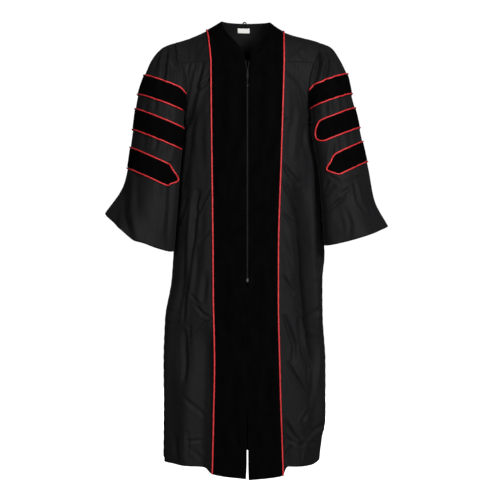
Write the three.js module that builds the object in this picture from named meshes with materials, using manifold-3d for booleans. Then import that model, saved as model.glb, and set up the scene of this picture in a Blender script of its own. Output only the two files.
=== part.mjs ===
// Doctoral graduation gown, filled out as it is worn.
// Units are millimetres and +Z is up. The front faces -Y. Left and right are the wearer's own,
// so the right side lies at -X. The origin is on the shoulder line, midway between the shoulders.
// Every cloth piece is a thin wall through a grid of points. Heights in the tables are given as
// "down", the distance below the shoulder line.

import * as THREE from "three";
import { mergeVertices } from "three/addons/utils/BufferGeometryUtils.js";
import Module from "manifold-3d";

const wasm = await Module();
wasm.setup();

// Cloth and trim
const CLOTH = 1.2; // wall of the gown cloth
const VELVET = 1.8; // wall of the velvet with its pile
const SEAM = 0.4; // gap between two pieces at a seam
const PIPING = 4.6; // diameter of the covered cord along the velvet
const FACING_LIFT = 0.15; // extra gap under the facings, which bend over the shoulders
const ARMHOLE_EASE = 1.6; // step between the armhole edge and the sleeve, which meet at an angle
const SIDES = [
  { name: "right", sign: -1 },
  { name: "left", sign: 1 },
];

// Neck and shoulders
const NECK_HALF = 70; // half the neck's width at the shoulder line
const NECK_HEIGHT = 29; // of the neck point above the origin
const NECK_FORWARD = 5; // of the neck point before the origin
const NECK_BACK = { depth: 62, rise: 4 }; // centre back, behind the origin and above the neck point
const SHOULDER_SAG = 7; // of the shoulder line below a straight line
const BACK_BULGE = { depth: 14, rise: 30 }; // of the yoke over the shoulder blades

// The armhole is a leaning oval. Angles run from its top, down the front or the back, to the underarm.
const ARMHOLE = { topX: 210, topDown: 32, underX: 186, underDown: 262, front: 62, back: 68, bow: 21 };
const ARMHOLE_FRONT = [0, 22, 44, 66, 90, 115, 138, 160, 180]; // corners of its front half, degrees
const ARMHOLE_BACK = [0, 22, 44, 66, 88, 112, 136, 160, 180]; // corners of its back half, degrees
const FRONT_YOKE_ANGLE = 66; // where the front yoke's seam meets the armhole
const BACK_YOKE_ANGLE = 88; // where the back yoke's seam meets the armhole
const SIDE_SEAM_Y = 3;
const BEHIND_SEAM = 1 + 1e-9; // reach of the back's first column, just behind the side seam

// Sections of the body: depth at the centre front and back, and half-width on each side.
const BODY = [
  { down: 98, front: 93, back: 100, right: 184, left: 184 },
  { down: 163, front: 108, back: 110, right: 184, left: 184 },
  { down: 262, front: 124, back: 121, right: 184.4, left: 184.4 },
  { down: 300, front: 126, back: 123, right: 190, left: 190.6 },
  { down: 340, front: 128, back: 125, right: 192.6, left: 195.5 },
  { down: 400, front: 131, back: 129, right: 198.5, left: 206.5 },
  { down: 530, front: 134, back: 135, right: 208.4, left: 219 },
  { down: 650, front: 137, back: 141, right: 216, left: 224 },
  { down: 724, front: 139, back: 144, right: 221, left: 217 },
  { down: 840, front: 142, back: 149, right: 241, left: 219 },
  { down: 960, front: 145, back: 153, right: 246, left: 227 },
  { down: 1100, front: 148, back: 157, right: 245, left: 227 },
  { down: 1285, front: 152, back: 162, right: 247, left: 211 },
];
const CHEST_FLATNESS = 0.62; // handle of the section at the centre, as a share of its half-width
const SIDE_ROUNDNESS = 0.6; // handle of the section at the side, as a share of its depth
// Cloth beside the armhole takes up most of the armhole's cut. Share is how much, below 1, most limits
// how sharply, and stretch is how near the armhole the cloth is drawn out to its edge.
const CROWDING = { share: 0.85, most: 4, stretch: 3 };
// The front yoke's rise in section: forward and up from its seam, and forward from the shoulder line.
const YOKE_RISE = { seamForward: 0.12, seamUp: 0.5, shoulderForward: 0.55 };

// Front edges of the body on each side: zip gap, sewn stretch and open vent.
const CENTRE_EDGE = [
  { down: 100, right: 6.5, left: 6.5 },
  { down: 126, right: 3, left: 3 },
  { down: 730, right: 3, left: 3 },
  { down: 742, right: 0.2, left: 0.2 },
  { down: 1096, right: 0.2, left: 0.2 },
  { down: 1112, right: 2.8, left: 2.6 },
  { down: 1285, right: 7, left: 5 },
];
// Outer edge of the velvet, where the piping runs.
const VELVET_EDGE = [
  { down: 98, right: 100, left: 104 },
  { down: 350, right: 97, left: 98 },
  { down: 640, right: 93, left: 91 },
  { down: 900, right: 96, left: 92 },
  { down: 1285, right: 103, left: 104 },
];
const VELVET_AT_SHOULDER = { right: 121, left: 102 };
const VELVET_AT_BACK_NECK = 0.3; // share of the back yoke's height that the velvet covers

// Reach runs round the body: -1 at the centre front, 0 at the velvet's edge, 1 at the side seam and
// 2 at the centre back.
const HEM = [
  { reach: -1, right: 1281, left: 1284 },
  { reach: 0, right: 1269, left: 1274 },
  { reach: 0.1, right: 1253, left: 1250 },
  { reach: 0.5, right: 1247, left: 1252 },
  { reach: 0.85, right: 1243, left: 1230 },
  { reach: 1, right: 1236, left: 1206 },
  { reach: 1.4, right: 1238, left: 1232 },
  { reach: 2, right: 1244, left: 1244 },
];

// Soft folds of the fronts and sides: a ridge has a depth above 0 and a trough below 0.
const BODY_FOLDS = [
  { side: "right", reach: 0.24, drift: 0.03, from: 430, to: 760, width: 0.08, depth: -8 },
  { side: "right", reach: 0.34, drift: 0.02, from: 330, to: 800, width: 0.08, depth: 6 },
  { side: "right", reach: 0.45, drift: 0.02, from: 560, to: 860, width: 0.08, depth: -7 },
  { side: "right", reach: 0.36, drift: 0.02, from: 830, to: 1040, width: 0.09, depth: -7 },
  { side: "right", reach: 0.06, drift: 0.01, from: 840, to: 1400, width: 0.07, depth: -12 },
  { side: "right", reach: 0.3, drift: 0.02, from: 960, to: 1400, width: 0.14, depth: 8 },
  { side: "right", reach: 0.68, drift: 0.02, from: 720, to: 1400, width: 0.11, depth: 8 },
  { side: "right", reach: 0.86, drift: 0.0, from: 800, to: 1400, width: 0.09, depth: -9 },
  { side: "left", reach: 0.22, drift: 0.2, from: 420, to: 900, width: 0.09, depth: -13 },
  { side: "left", reach: 0.1, drift: 0.08, from: 500, to: 900, width: 0.09, depth: 6 },
  { side: "left", reach: 0.64, drift: 0.02, from: 620, to: 940, width: 0.09, depth: 8 },
  { side: "left", reach: 0.8, drift: 0.0, from: 660, to: 1000, width: 0.07, depth: -6 },
  { side: "left", reach: 0.52, drift: -0.04, from: 860, to: 1190, width: 0.1, depth: -11 },
  { side: "left", reach: 0.24, drift: 0.03, from: 900, to: 1400, width: 0.12, depth: 8 },
  { side: "left", reach: 0.05, drift: 0.02, from: 1080, to: 1400, width: 0.07, depth: -9 },
  { side: "left", reach: 0.72, drift: 0.0, from: 1000, to: 1400, width: 0.1, depth: 8 },
];
const FOLD_FADE = 110; // length over which a fold comes and goes
// Folds start beside the velvet, over this stretch of reach, and are low beside the side seam.
const FOLD_ROOM = { from: -0.05, full: 0.06, besideSeam: 0.1, onSeam: 0.2 };

// Gathers under the front yoke, and flutes under the back yoke that run to the hem.
const GATHERS = { count: 6, depth: 2, from: 0.15, full: 0.4, plain: 25, length: 120 };
// On each half of the back, starting beside the side seam. Their depth is uneven, more so lower down.
const FLUTES = { count: 6, from: 0.04, full: 0.26, uneven: 0.25, beat: 9, phase: 1, evenTo: 500 };
const FLUTE_DEPTH = [
  { down: 140, depth: 2 },
  { down: 230, depth: 4.5 },
  { down: 450, depth: 6.5 },
  { down: 800, depth: 9 },
  { down: 1285, depth: 12 },
];

// Sections of the sleeves, from the armhole to the cuff. Outer and inner are opposite points of a
// section, at a distance from the centre plane, and front and back are its depths.
const SLEEVES = {
  right: [
    { at: 0, outX: 210, outDown: 32, outY: 0, inX: 186, inDown: 262, inY: 3, front: 62, back: 68 },
    { at: 0.1, outX: 245, outDown: 46, outY: 0, inX: 188.5, inDown: 269, inY: -12, front: 70, back: 77 },
    { at: 0.2, outX: 275, outDown: 77, outY: -1, inX: 188.3, inDown: 277, inY: -30, front: 75, back: 86 },
    { at: 0.3, outX: 300, outDown: 130, outY: -2, inX: 187.4, inDown: 287, inY: -44, front: 78, back: 94 },
    { at: 0.42, outX: 320, outDown: 195, outY: -4, inX: 185.8, inDown: 302, inY: -54, front: 79, back: 102 },
    { at: 0.55, outX: 331, outDown: 270, outY: -6, inX: 187.5, inDown: 338, inY: -60, front: 79, back: 110 },
    { at: 0.68, outX: 339, outDown: 335, outY: -9, inX: 193, inDown: 396, inY: -65, front: 80, back: 118 },
    { at: 0.8, outX: 349, outDown: 405, outY: -13, inX: 198, inDown: 470, inY: -70, front: 84, back: 127 },
    { at: 0.88, outX: 361, outDown: 450, outY: -16, inX: 203, inDown: 535, inY: -74, front: 88, back: 135 },
    { at: 1, outX: 413, outDown: 528, outY: -22, inX: 211, inDown: 636, inY: -78, front: 98, back: 150 },
  ],
  left: [
    { at: 0, outX: 210, outDown: 32, outY: 0, inX: 186, inDown: 262, inY: 3, front: 62, back: 68 },
    { at: 0.1, outX: 243, outDown: 47, outY: 0, inX: 188.5, inDown: 269, inY: -12, front: 70, back: 77 },
    { at: 0.2, outX: 268, outDown: 82, outY: -1, inX: 188.3, inDown: 277, inY: -30, front: 75, back: 86 },
    { at: 0.3, outX: 289, outDown: 126, outY: -2, inX: 187.6, inDown: 288, inY: -44, front: 78, back: 94 },
    { at: 0.42, outX: 304, outDown: 195, outY: -4, inX: 186.8, inDown: 304, inY: -54, front: 79, back: 102 },
    { at: 0.55, outX: 319, outDown: 252, outY: -6, inX: 192, inDown: 340, inY: -60, front: 79, back: 110 },
    { at: 0.68, outX: 335, outDown: 330, outY: -9, inX: 202, inDown: 400, inY: -65, front: 80, back: 118 },
    { at: 0.8, outX: 352, outDown: 408, outY: -13, inX: 209, inDown: 470, inY: -70, front: 84, back: 127 },
    { at: 0.9, outX: 368, outDown: 490, outY: -17, inX: 215, inDown: 545, inY: -74, front: 88, back: 136 },
    { at: 1, outX: 407, outDown: 566, outY: -22, inX: 221, inDown: 622, inY: -78, front: 98, back: 150 },
  ],
};
const CUFF_DROP = { right: 24, left: 9 }; // of the cuff's front edge below the line of its section
const CUFF_DROP_FROM = 0.8; // where along the sleeve the front begins to drop
const SLEEVE_SPLITS = [3, 3, 3, 2, 2, 2, 1, 1]; // columns between the armhole's corners, top to underarm
const SLEEVE_ROWS = 11;
const SLEEVE_CROWDING = 1.25; // of the rows towards the armhole, where the sleeve bends most
// Flutes of the sleeve head. They fade out above the first bar and stop short of it.
const SLEEVE_FLUTES = { depth: 3.4, fadeIn: 0.07, fadeOut: 38, clear: 10, widest: 95, thin: 25 };
const SLEEVE_UNEVEN = { share: 0.3, beat: 2.1 }; // of the flutes' depth, from one to the next
const SLEEVE_BOW_FADE = 0.42; // share of the sleeve over which the armhole's bow dies out
// Soft folds of the sleeves: the angle is from the outer edge, towards the front.
const SLEEVE_FOLDS = [
  { side: "right", angle: 38, from: 0.72, width: 17, depth: -15 },
  { side: "right", angle: 82, from: 0.7, width: 24, depth: 9 },
  { side: "right", angle: 132, from: 0.75, width: 20, depth: -7 },
  { side: "right", angle: -50, from: 0.7, width: 24, depth: 9 },
  { side: "right", angle: -100, from: 0.7, width: 22, depth: -13 },
  { side: "right", angle: -140, from: 0.75, width: 20, depth: 6 },
  { side: "left", angle: 42, from: 0.78, width: 16, depth: -9 },
  { side: "left", angle: 78, from: 0.72, width: 22, depth: 8 },
  { side: "left", angle: 118, from: 0.74, width: 20, depth: -9 },
  { side: "left", angle: -46, from: 0.7, width: 22, depth: 9 },
  { side: "left", angle: -92, from: 0.72, width: 22, depth: -13 },
  { side: "left", angle: -136, from: 0.75, width: 20, depth: 7 },
];

// Velvet bars of the sleeves, each between two parallel planes that slope down to the body.
// The centre is where the bar crosses the sleeve's outer edge, and front and back are the angles of its
// points. The tip is the front one's, and the back one is in the middle. The lift is the extra gap under a
// bar and its piping, which cross the sleeve's facets.
const BAR_HEIGHT = 58;
// Points of a bar: how far down the bar the point is, and the degrees over which the bar narrows to it.
const BAR_TIPS = { mid: { share: 0.5, point: 30 }, low: { share: 1, point: 40 } };
const BAR_CLEAR = 2; // degrees between a bar's point and the nearest of the sleeve's columns
const BAR_INSET = { side: 1.35, least: 0.012 }; // of the velvet inside the piping: shares of its room
const BAR_SEARCH_FROM = 0.05; // row of the sleeve below which bars are looked for
const BARS = [
  { side: "right", number: 1, x: 309, down: 156, slope: 0.4, front: 131, tip: "low", back: 108, lift: 1.35 },
  { side: "right", number: 2, x: 328, down: 256, slope: 0.44, front: 160, tip: "mid", back: 146, lift: 0.3 },
  { side: "right", number: 3, x: 341, down: 369, slope: 0.47, front: 163, tip: "mid", back: 142, lift: 0.3 },
  { side: "left", number: 1, x: 298, down: 152, slope: 0.4, front: 131, tip: "low", back: 108, lift: 1.35 },
  { side: "left", number: 2, x: 316, down: 253, slope: 0.43, front: 148, tip: "mid", back: 144, lift: 0.3 },
  { side: "left", number: 3, x: 338, down: 351, slope: 0.5, front: 134, tip: "mid", back: 140, lift: 0.3 },
];

// Zip
const ZIP = { bottom: 733, parts: 126, tapeWidth: 12, tape: 0.8, tooth: 2.2, teeth: 2 };
const SLIDER = { down: 126, width: 5.2, height: 11, corner: 1.6, plate: 1.2 };
const SLIDER_POST = { width: 1, length: 2, inset: 1.4 }; // between the plates, near the upper end
// Arched bridge that holds the pull: its ends are inset from the plate's and its legs lean inwards.
const BRIDGE = { width: 1.8, inset: 1.5, tunnel: 2.4, crown: 1, leg: 1, leanOut: 0.8, leanIn: 0.6 };
const BRIDGE_SUNK = 0.1; // of the bridge's feet in the plate
const PULL = { width: 5, length: 24, corner: 2, thickness: 1.2, bar: 1.5, slot: 6, slotRoom: 1.2 };
const ZIP_STOP = { down: 721, width: 5, height: 9, corner: 1, thickness: 1.4 };

// Neck loop and label
const LOOP = { x: -9, width: 9, above: 6.5, sunk: 9, cord: 3.6, inset: 1.6, segments: 8 };
const LABEL_SEARCH = 3; // rows of the back yoke on each side of the centre that the label may reach
const LABEL = { x: -12, width: 37, top: 21, height: 16, thickness: 0.6, columns: 3, rows: 2 };

// Grid sizes
const VELVET_COLUMNS = 3;
const FRONT_COLUMNS = 12;
const YOKE_COLUMNS = 5;
const BACK_COLUMNS = 4 * FLUTES.count; // four to a flute, on each half
const BACK_YOKE_SEAM_COLUMNS = 5; // on each half, between the armhole and the centre
const FRONT_ROW_STEP = 95;
const BACK_ROW_STEP = 130;
const YOKE_ANGLE_STEP = 11; // degrees of the armhole to a row of the front yoke
const BAR_MIDDLE_CLEAR = 0.1; // rows between a bar's edge and the sleeve's row inside it
const HALVINGS = 40; // steps in looking for a root

const CLOTH_BLACK = new THREE.MeshStandardMaterial({ color: 0x232325, roughness: 0.75, metalness: 0 });
const VELVET_BLACK = new THREE.MeshStandardMaterial({ color: 0x060606, roughness: 1, metalness: 0 });
const PIPING_RED = new THREE.MeshStandardMaterial({ color: 0xc4262e, roughness: 0.45, metalness: 0 });
const ZIP_BLACK = new THREE.MeshStandardMaterial({ color: 0x2a2a2c, roughness: 0.6, metalness: 0 });
const ZIP_METAL = new THREE.MeshStandardMaterial({ color: 0x303033, roughness: 0.35, metalness: 0.9 });
const STOP_METAL = new THREE.MeshStandardMaterial({ color: 0xb9babc, roughness: 0.35, metalness: 0.9 });
const LABEL_WHITE = new THREE.MeshStandardMaterial({ color: 0xf4f2ee, roughness: 0.6, metalness: 0 });

// Small helpers

const radians = THREE.MathUtils.degToRad;
const lerp = THREE.MathUtils.lerp;
const clamp = THREE.MathUtils.clamp;
const smooth = THREE.MathUtils.smoothstep;
const point = (x, y, z) => new THREE.Vector3(x, y, z);
const between = (a, b, share) => a.clone().lerp(b, share);

// A table's column at a place along its key, on a smooth curve that never overshoots its rows.
function fromTable(table, key, place, column) {
  const last = table.length - 1;
  const at = clamp(place, table[0][key], table[last][key]);
  let i = 0;
  while (i < last - 1 && at > table[i + 1][key]) i += 1;
  const slope = (k) => (table[k + 1][column] - table[k][column]) / (table[k + 1][key] - table[k][key]);
  const tangent = (k) => {
    if (k === 0) return slope(0);
    if (k === last) return slope(last - 1);
    const before = slope(k - 1);
    const after = slope(k);
    return before * after <= 0 ? 0 : (2 * before * after) / (before + after);
  };
  const span = table[i + 1][key] - table[i][key];
  const t = (at - table[i][key]) / span;
  return (
    table[i][column] * (1 + 2 * t) * (1 - t) ** 2 +
    span * tangent(i) * t * (1 - t) ** 2 +
    table[i + 1][column] * (3 - 2 * t) * t ** 2 +
    span * tangent(i + 1) * (t - 1) * t ** 2
  );
}

// The share between low and high at which a rising function reaches zero.
function rootOf(rising, low = 0, high = 1) {
  for (let step = 0; step < HALVINGS; step += 1) {
    const middle = (low + high) / 2;
    if (rising(middle) < 0) low = middle;
    else high = middle;
  }
  return (low + high) / 2;
}

// Stops with evenly spaced places filled in between them, at most a step apart.
function fillStops(stops, step) {
  const places = [stops[0]];
  for (let i = 1; i < stops.length; i += 1) {
    const count = Math.ceil((stops[i] - stops[i - 1]) / step);
    for (let k = 1; k <= count; k += 1) places.push(lerp(stops[i - 1], stops[i], k / count));
  }
  return places;
}

// Grids, walls and tubes

// A grid of points with outward normals. Rows run down the cloth, and columns run so that
// (next column - column) x (next row - row) points outwards once multiplied by facing.
function gridOf(rows, { facing = 1, closed = false } = {}) {
  const height = rows.length;
  const width = rows[0].length;
  const column = (j) => (closed ? (j + width) % width : clamp(j, 0, width - 1));
  const normals = rows.map((row, i) =>
    row.map((_, j) => {
      const across = row[column(j + 1)].clone().sub(row[column(j - 1)]);
      const below = rows[Math.min(i + 1, height - 1)][j];
      const above = rows[Math.max(i - 1, 0)][j];
      return across.cross(below.clone().sub(above)).multiplyScalar(facing).normalize();
    }),
  );
  return { rows, normals, facing, closed };
}

// The grid moved along its normals.
const movedOut = (grid, distance) =>
  grid.rows.map((row, i) => row.map((p, j) => p.clone().addScaledVector(grid.normals[i][j], distance)));

function geometryOf(points, triangles) {
  const positions = points.flatMap((p) => [p.x, p.y, p.z]);
  const geometry = new THREE.BufferGeometry();
  geometry.setAttribute("position", new THREE.Float32BufferAttribute(positions, 3));
  geometry.setIndex(triangles);
  geometry.computeVertexNormals();
  return geometry;
}

// Whether a four-sided facet stands out along its second diagonal rather than its first.
function bendsOut([a, b, c, d], facing) {
  const across = b.clone().sub(a);
  const down = d.clone().sub(a);
  return across.cross(down).dot(c.clone().sub(a)) * facing < 0;
}

// A closed wall through a grid, half its thickness on each side, moved out from the grid by lift.
function wall(grid, thickness, lift = 0) {
  const height = grid.rows.length;
  const width = grid.rows[0].length;
  const outer = movedOut(grid, lift + thickness / 2).flat();
  const inner = movedOut(grid, lift - thickness / 2).flat();
  const shift = outer.length;
  const triangles = [];
  const quad = (a, b, c, d) => {
    if (grid.facing > 0) triangles.push(a, b, c, a, c, d);
    else triangles.push(a, c, b, a, d, c);
  };
  const lastColumn = grid.closed ? width : width - 1;
  const id = (i, j) => i * width + (j % width);
  const middle = grid.rows.flat();
  for (let i = 0; i < height - 1; i += 1) {
    for (let j = 0; j < lastColumn; j += 1) {
      const corners = [id(i, j), id(i, j + 1), id(i + 1, j + 1), id(i + 1, j)];
      if (bendsOut(corners.map((k) => middle[k]), grid.facing)) corners.push(corners.shift());
      const [a, b, c, d] = corners;
      quad(a, b, c, d);
      quad(a + shift, d + shift, c + shift, b + shift);
    }
  }
  for (let j = 0; j < lastColumn; j += 1) {
    const bottom = height - 1;
    quad(id(0, j + 1), id(0, j), id(0, j) + shift, id(0, j + 1) + shift);
    quad(id(bottom, j), id(bottom, j + 1), id(bottom, j + 1) + shift, id(bottom, j) + shift);
  }
  if (!grid.closed) {
    for (let i = 0; i < height - 1; i += 1) {
      const right = width - 1;
      quad(id(i, 0), id(i + 1, 0), id(i + 1, 0) + shift, id(i, 0) + shift);
      quad(id(i + 1, right), id(i, right), id(i, right) + shift, id(i + 1, right) + shift);
    }
  }
  return geometryOf([...outer, ...inner], triangles);
}

// A cord through points that lie on cloth, standing on the cloth along its normals.
function pipe(path, normals, diameter, lift, { closed = false, sides = 5 } = {}) {
  const count = path.length;
  const at = (k) => path[closed ? (k + count) % count : clamp(k, 0, count - 1)];
  const points = [];
  for (let k = 0; k < count; k += 1) {
    const tangent = at(k + 1).clone().sub(at(k - 1)).normalize();
    const up = normals[k].clone().addScaledVector(tangent, -normals[k].dot(tangent)).normalize();
    const aside = tangent.clone().cross(up);
    const centre = path[k].clone().addScaledVector(up, lift + diameter / 2);
    for (let s = 0; s < sides; s += 1) {
      const turn = (2 * Math.PI * (s + 0.5)) / sides + Math.PI;
      const arm = up.clone().multiplyScalar(Math.cos(turn)).addScaledVector(aside, Math.sin(turn));
      points.push(centre.clone().addScaledVector(arm, diameter / 2));
    }
  }
  const triangles = [];
  const id = (k, s) => (k % count) * sides + (s % sides);
  const lastRing = closed ? count : count - 1;
  for (let k = 0; k < lastRing; k += 1) {
    for (let s = 0; s < sides; s += 1) {
      triangles.push(id(k, s), id(k, s + 1), id(k + 1, s + 1), id(k, s), id(k + 1, s + 1), id(k + 1, s));
    }
  }
  if (!closed) {
    for (let s = 1; s < sides - 1; s += 1) {
      triangles.push(id(0, 0), id(0, s + 1), id(0, s));
      triangles.push(id(count - 1, 0), id(count - 1, s), id(count - 1, s + 1));
    }
  }
  return geometryOf(points, triangles);
}

function solidOf(geometry, place = new THREE.Matrix4()) {
  const bare = geometry.index ? geometry.clone() : geometry;
  bare.deleteAttribute("normal");
  bare.deleteAttribute("uv");
  const merged = mergeVertices(bare.applyMatrix4(place));
  const vertProperties = merged.attributes.position.array;
  const triVerts = new Uint32Array(merged.index.array);
  return new wasm.Manifold(new wasm.Mesh({ numProp: 3, vertProperties, triVerts }));
}

function geometryOfSolid(solid) {
  const mesh = solid.getMesh();
  const geometry = new THREE.BufferGeometry();
  geometry.setAttribute("position", new THREE.BufferAttribute(new Float32Array(mesh.vertProperties), 3));
  geometry.setIndex(new THREE.BufferAttribute(new Uint32Array(mesh.triVerts), 1));
  geometry.computeVertexNormals();
  return geometry;
}

const gown = new THREE.Group();

function add(name, geometry, material, parent = gown) {
  const mesh = new THREE.Mesh(geometry, material.clone());
  mesh.name = name;
  parent.add(mesh);
  return mesh;
}

// Armhole

// How far the armhole bows in at an angle in radians, which it does late on the way down from its top.
const armholeBow = (angle) => ARMHOLE.bow * Math.sin(angle) ** (angle < Math.PI / 2 ? 6 : 2);

// A corner of the armhole. The face is -1 on the front half and 1 on the back half.
function armholeCorner(sign, face, degrees) {
  const angle = radians(degrees);
  const share = (1 - Math.cos(angle)) / 2;
  const x = lerp(ARMHOLE.topX, ARMHOLE.underX, share) - armholeBow(angle);
  const depth = face < 0 ? ARMHOLE.front : ARMHOLE.back;
  const y = SIDE_SEAM_Y * share + face * depth * Math.sin(angle);
  return point(sign * x, y, -lerp(ARMHOLE.topDown, ARMHOLE.underDown, share));
}

// A point of the armhole's edge, on the straight stretch between two corners.
function armholeEdge(sign, face, degrees) {
  const corners = face < 0 ? ARMHOLE_FRONT : ARMHOLE_BACK;
  let i = 0;
  while (i < corners.length - 2 && degrees > corners[i + 1]) i += 1;
  const share = (degrees - corners[i]) / (corners[i + 1] - corners[i]);
  return between(armholeCorner(sign, face, corners[i]), armholeCorner(sign, face, corners[i + 1]), share);
}

// The same edge at a height.
function armholeEdgeAt(sign, face, down) {
  const angles = face < 0 ? ARMHOLE_FRONT : ARMHOLE_BACK;
  const corners = angles.map((degrees) => armholeCorner(sign, face, degrees));
  let i = 0;
  while (i < corners.length - 2 && down > -corners[i + 1].z) i += 1;
  return between(corners[i], corners[i + 1], (down + corners[i].z) / (corners[i].z - corners[i + 1].z));
}

const downAt = (degrees) => -armholeCorner(1, 1, degrees).z;
const FRONT_SEAM = downAt(FRONT_YOKE_ANGLE);
const BACK_SEAM = downAt(BACK_YOKE_ANGLE);

// Body

const sideName = (sign) => (sign < 0 ? "right" : "left");

// One half of a level section, from the centre line to the side, as a plan curve.
function sectionCurve(sign, face, down) {
  const depth = fromTable(BODY, "down", down, face < 0 ? "front" : "back");
  const centre = new THREE.Vector2(0, face * depth);
  const side = new THREE.Vector2(fromTable(BODY, "down", down, sideName(sign)), SIDE_SEAM_Y);
  const handle = SIDE_ROUNDNESS * Math.abs(side.y - centre.y);
  const nearCentre = new THREE.Vector2(CHEST_FLATNESS * side.x, centre.y);
  const nearSide = new THREE.Vector2(side.x, side.y + face * handle);
  return new THREE.CubicBezierCurve(centre, nearCentre, nearSide, side);
}

// The plan of the smooth body at a reach round it and a height, the direction out of it, and how
// much room the cloth has there.
// Above the underarm, the section stops at the armhole and is drawn out to its edge.
function bodyPlan(sign, reach, down) {
  const face = reach <= 1 ? -1 : 1;
  const curve = sectionCurve(sign, face, down);
  const shareAt = (x) => rootOf((t) => curve.getPoint(t).x - x);
  const velvet = fromTable(VELVET_EDGE, "down", down, sideName(sign));
  const start = face < 0 ? shareAt(velvet) : 0;
  const toSide = face < 0 ? Math.max(reach, 0) : 2 - reach;
  let t = start + (1 - start) * toSide;
  if (reach < 0) {
    const centre = fromTable(CENTRE_EDGE, "down", down, sideName(sign));
    t = shareAt(lerp(centre, velvet, reach + 1));
  }
  const stretch = new THREE.Vector2(0, 0);
  let spread = 1;
  if (down < ARMHOLE.underDown) {
    const edge = armholeEdgeAt(sign, face, down);
    const stop = rootOf((share) => face * (edge.y - curve.getPoint(share).y));
    const short = (1 - stop) / (1 - start);
    const crowding = clamp(CROWDING.share / short, 1, CROWDING.most);
    t -= (1 - start) * short * toSide ** crowding;
    spread = 1 - short * crowding * toSide ** (crowding - 1);
    stretch.set(Math.abs(edge.x), edge.y).sub(curve.getPoint(stop));
    stretch.multiplyScalar(toSide ** CROWDING.stretch);
  }
  const tangent = curve.getTangent(t);
  const outward = new THREE.Vector2(-face * tangent.y, face * tangent.x);
  return { plan: curve.getPoint(t).add(stretch), outward, spread };
}

// Height of folds, gathers and flutes above the plain section. They flatten where the cloth is crowded.
function bodyRelief(sign, reach, down, spread) {
  let relief = 0;
  for (const fold of BODY_FOLDS.filter((row) => row.side === sideName(sign))) {
    const share = clamp((down - fold.from) / (fold.to - fold.from), 0, 1);
    const away = (reach - fold.reach - fold.drift * share) / fold.width;
    const begun = smooth(down, fold.from, fold.from + FOLD_FADE);
    const ended = smooth(down, fold.to - FOLD_FADE, fold.to);
    relief += fold.depth * begun * (1 - ended) * Math.exp(-away * away);
  }
  const offSeam = smooth(Math.abs(reach - 1), 0, FOLD_ROOM.besideSeam);
  relief *= smooth(reach, FOLD_ROOM.from, FOLD_ROOM.full) * lerp(FOLD_ROOM.onSeam, 1, offSeam);
  if (reach > 0 && reach < 1) {
    const ended = smooth(down - FRONT_SEAM, GATHERS.plain, GATHERS.length);
    const fade = smooth(reach, GATHERS.from, GATHERS.full) * (1 - ended);
    relief += GATHERS.depth * fade * spread * Math.cos(2 * Math.PI * GATHERS.count * reach);
  }
  if (reach > 1) {
    const inward = reach - 1;
    const depth = fromTable(FLUTE_DEPTH, "down", down, "depth") * smooth(inward, FLUTES.from, FLUTES.full);
    const wave = Math.sin(FLUTES.beat * inward * sign + FLUTES.phase);
    const uneven = 1 + FLUTES.uneven * wave * smooth(down, BACK_SEAM, FLUTES.evenTo);
    relief += depth * uneven * spread * Math.cos(2 * Math.PI * FLUTES.count * inward);
  }
  return relief;
}

// A point of the body's cloth at a reach round it and a height.
function bodyPoint(sign, reach, down) {
  const { plan, outward, spread } = bodyPlan(sign, reach, down);
  plan.addScaledVector(outward, bodyRelief(sign, reach, down, spread));
  return point(sign * plan.x, plan.y, -down);
}

// Heights of the rows below the underarm are given as the share of the way to the hem.
const hemDown = (sign, reach) => fromTable(HEM, "reach", reach, sideName(sign));
const belowUnderarm = (sign, reach, share) => lerp(ARMHOLE.underDown, hemDown(sign, reach), share);

// Rows of a body panel: heights at the armhole's corners, then shares of the way to the hem.
function panelRows(corners, seamAngle, stops, step) {
  const upper = corners.filter((degrees) => degrees >= seamAngle && degrees < 180).map(downAt);
  const lower = fillStops(stops, step / (HEM[0].right - ARMHOLE.underDown));
  return { upper, lower };
}

const shareDown = (down) => (down - ARMHOLE.underDown) / (HEM[0].right - ARMHOLE.underDown);
const belowArmhole = CENTRE_EDGE.map((row) => row.down).filter((down) => down > ARMHOLE.underDown);
const FRONT_STOPS = [0, ...belowArmhole.slice(0, -1).map(shareDown), 1];

// One front: from the zip to the side seam, and from the yoke to the hem.
function frontGrid(sign) {
  const { upper, lower } = panelRows(ARMHOLE_FRONT, FRONT_YOKE_ANGLE, FRONT_STOPS, FRONT_ROW_STEP);
  upper.splice(1, 0, ZIP.parts);
  const reaches = [
    ...Array.from({ length: VELVET_COLUMNS }, (_, j) => j / VELVET_COLUMNS - 1),
    ...Array.from({ length: FRONT_COLUMNS + 1 }, (_, j) => j / FRONT_COLUMNS),
  ];
  const upperRows = upper.map((down) => reaches.map((reach) => bodyPoint(sign, reach, down)));
  const lowerRows = lower.map((share) =>
    reaches.map((reach) => bodyPoint(sign, reach, belowUnderarm(sign, reach, share))),
  );
  upperRows[0].forEach((p) => (p.z -= SEAM / 2));
  lowerRows.forEach((row) => (row.at(-1).y -= SEAM / 2));
  return gridOf([...upperRows, ...lowerRows], { facing: -sign });
}

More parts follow.
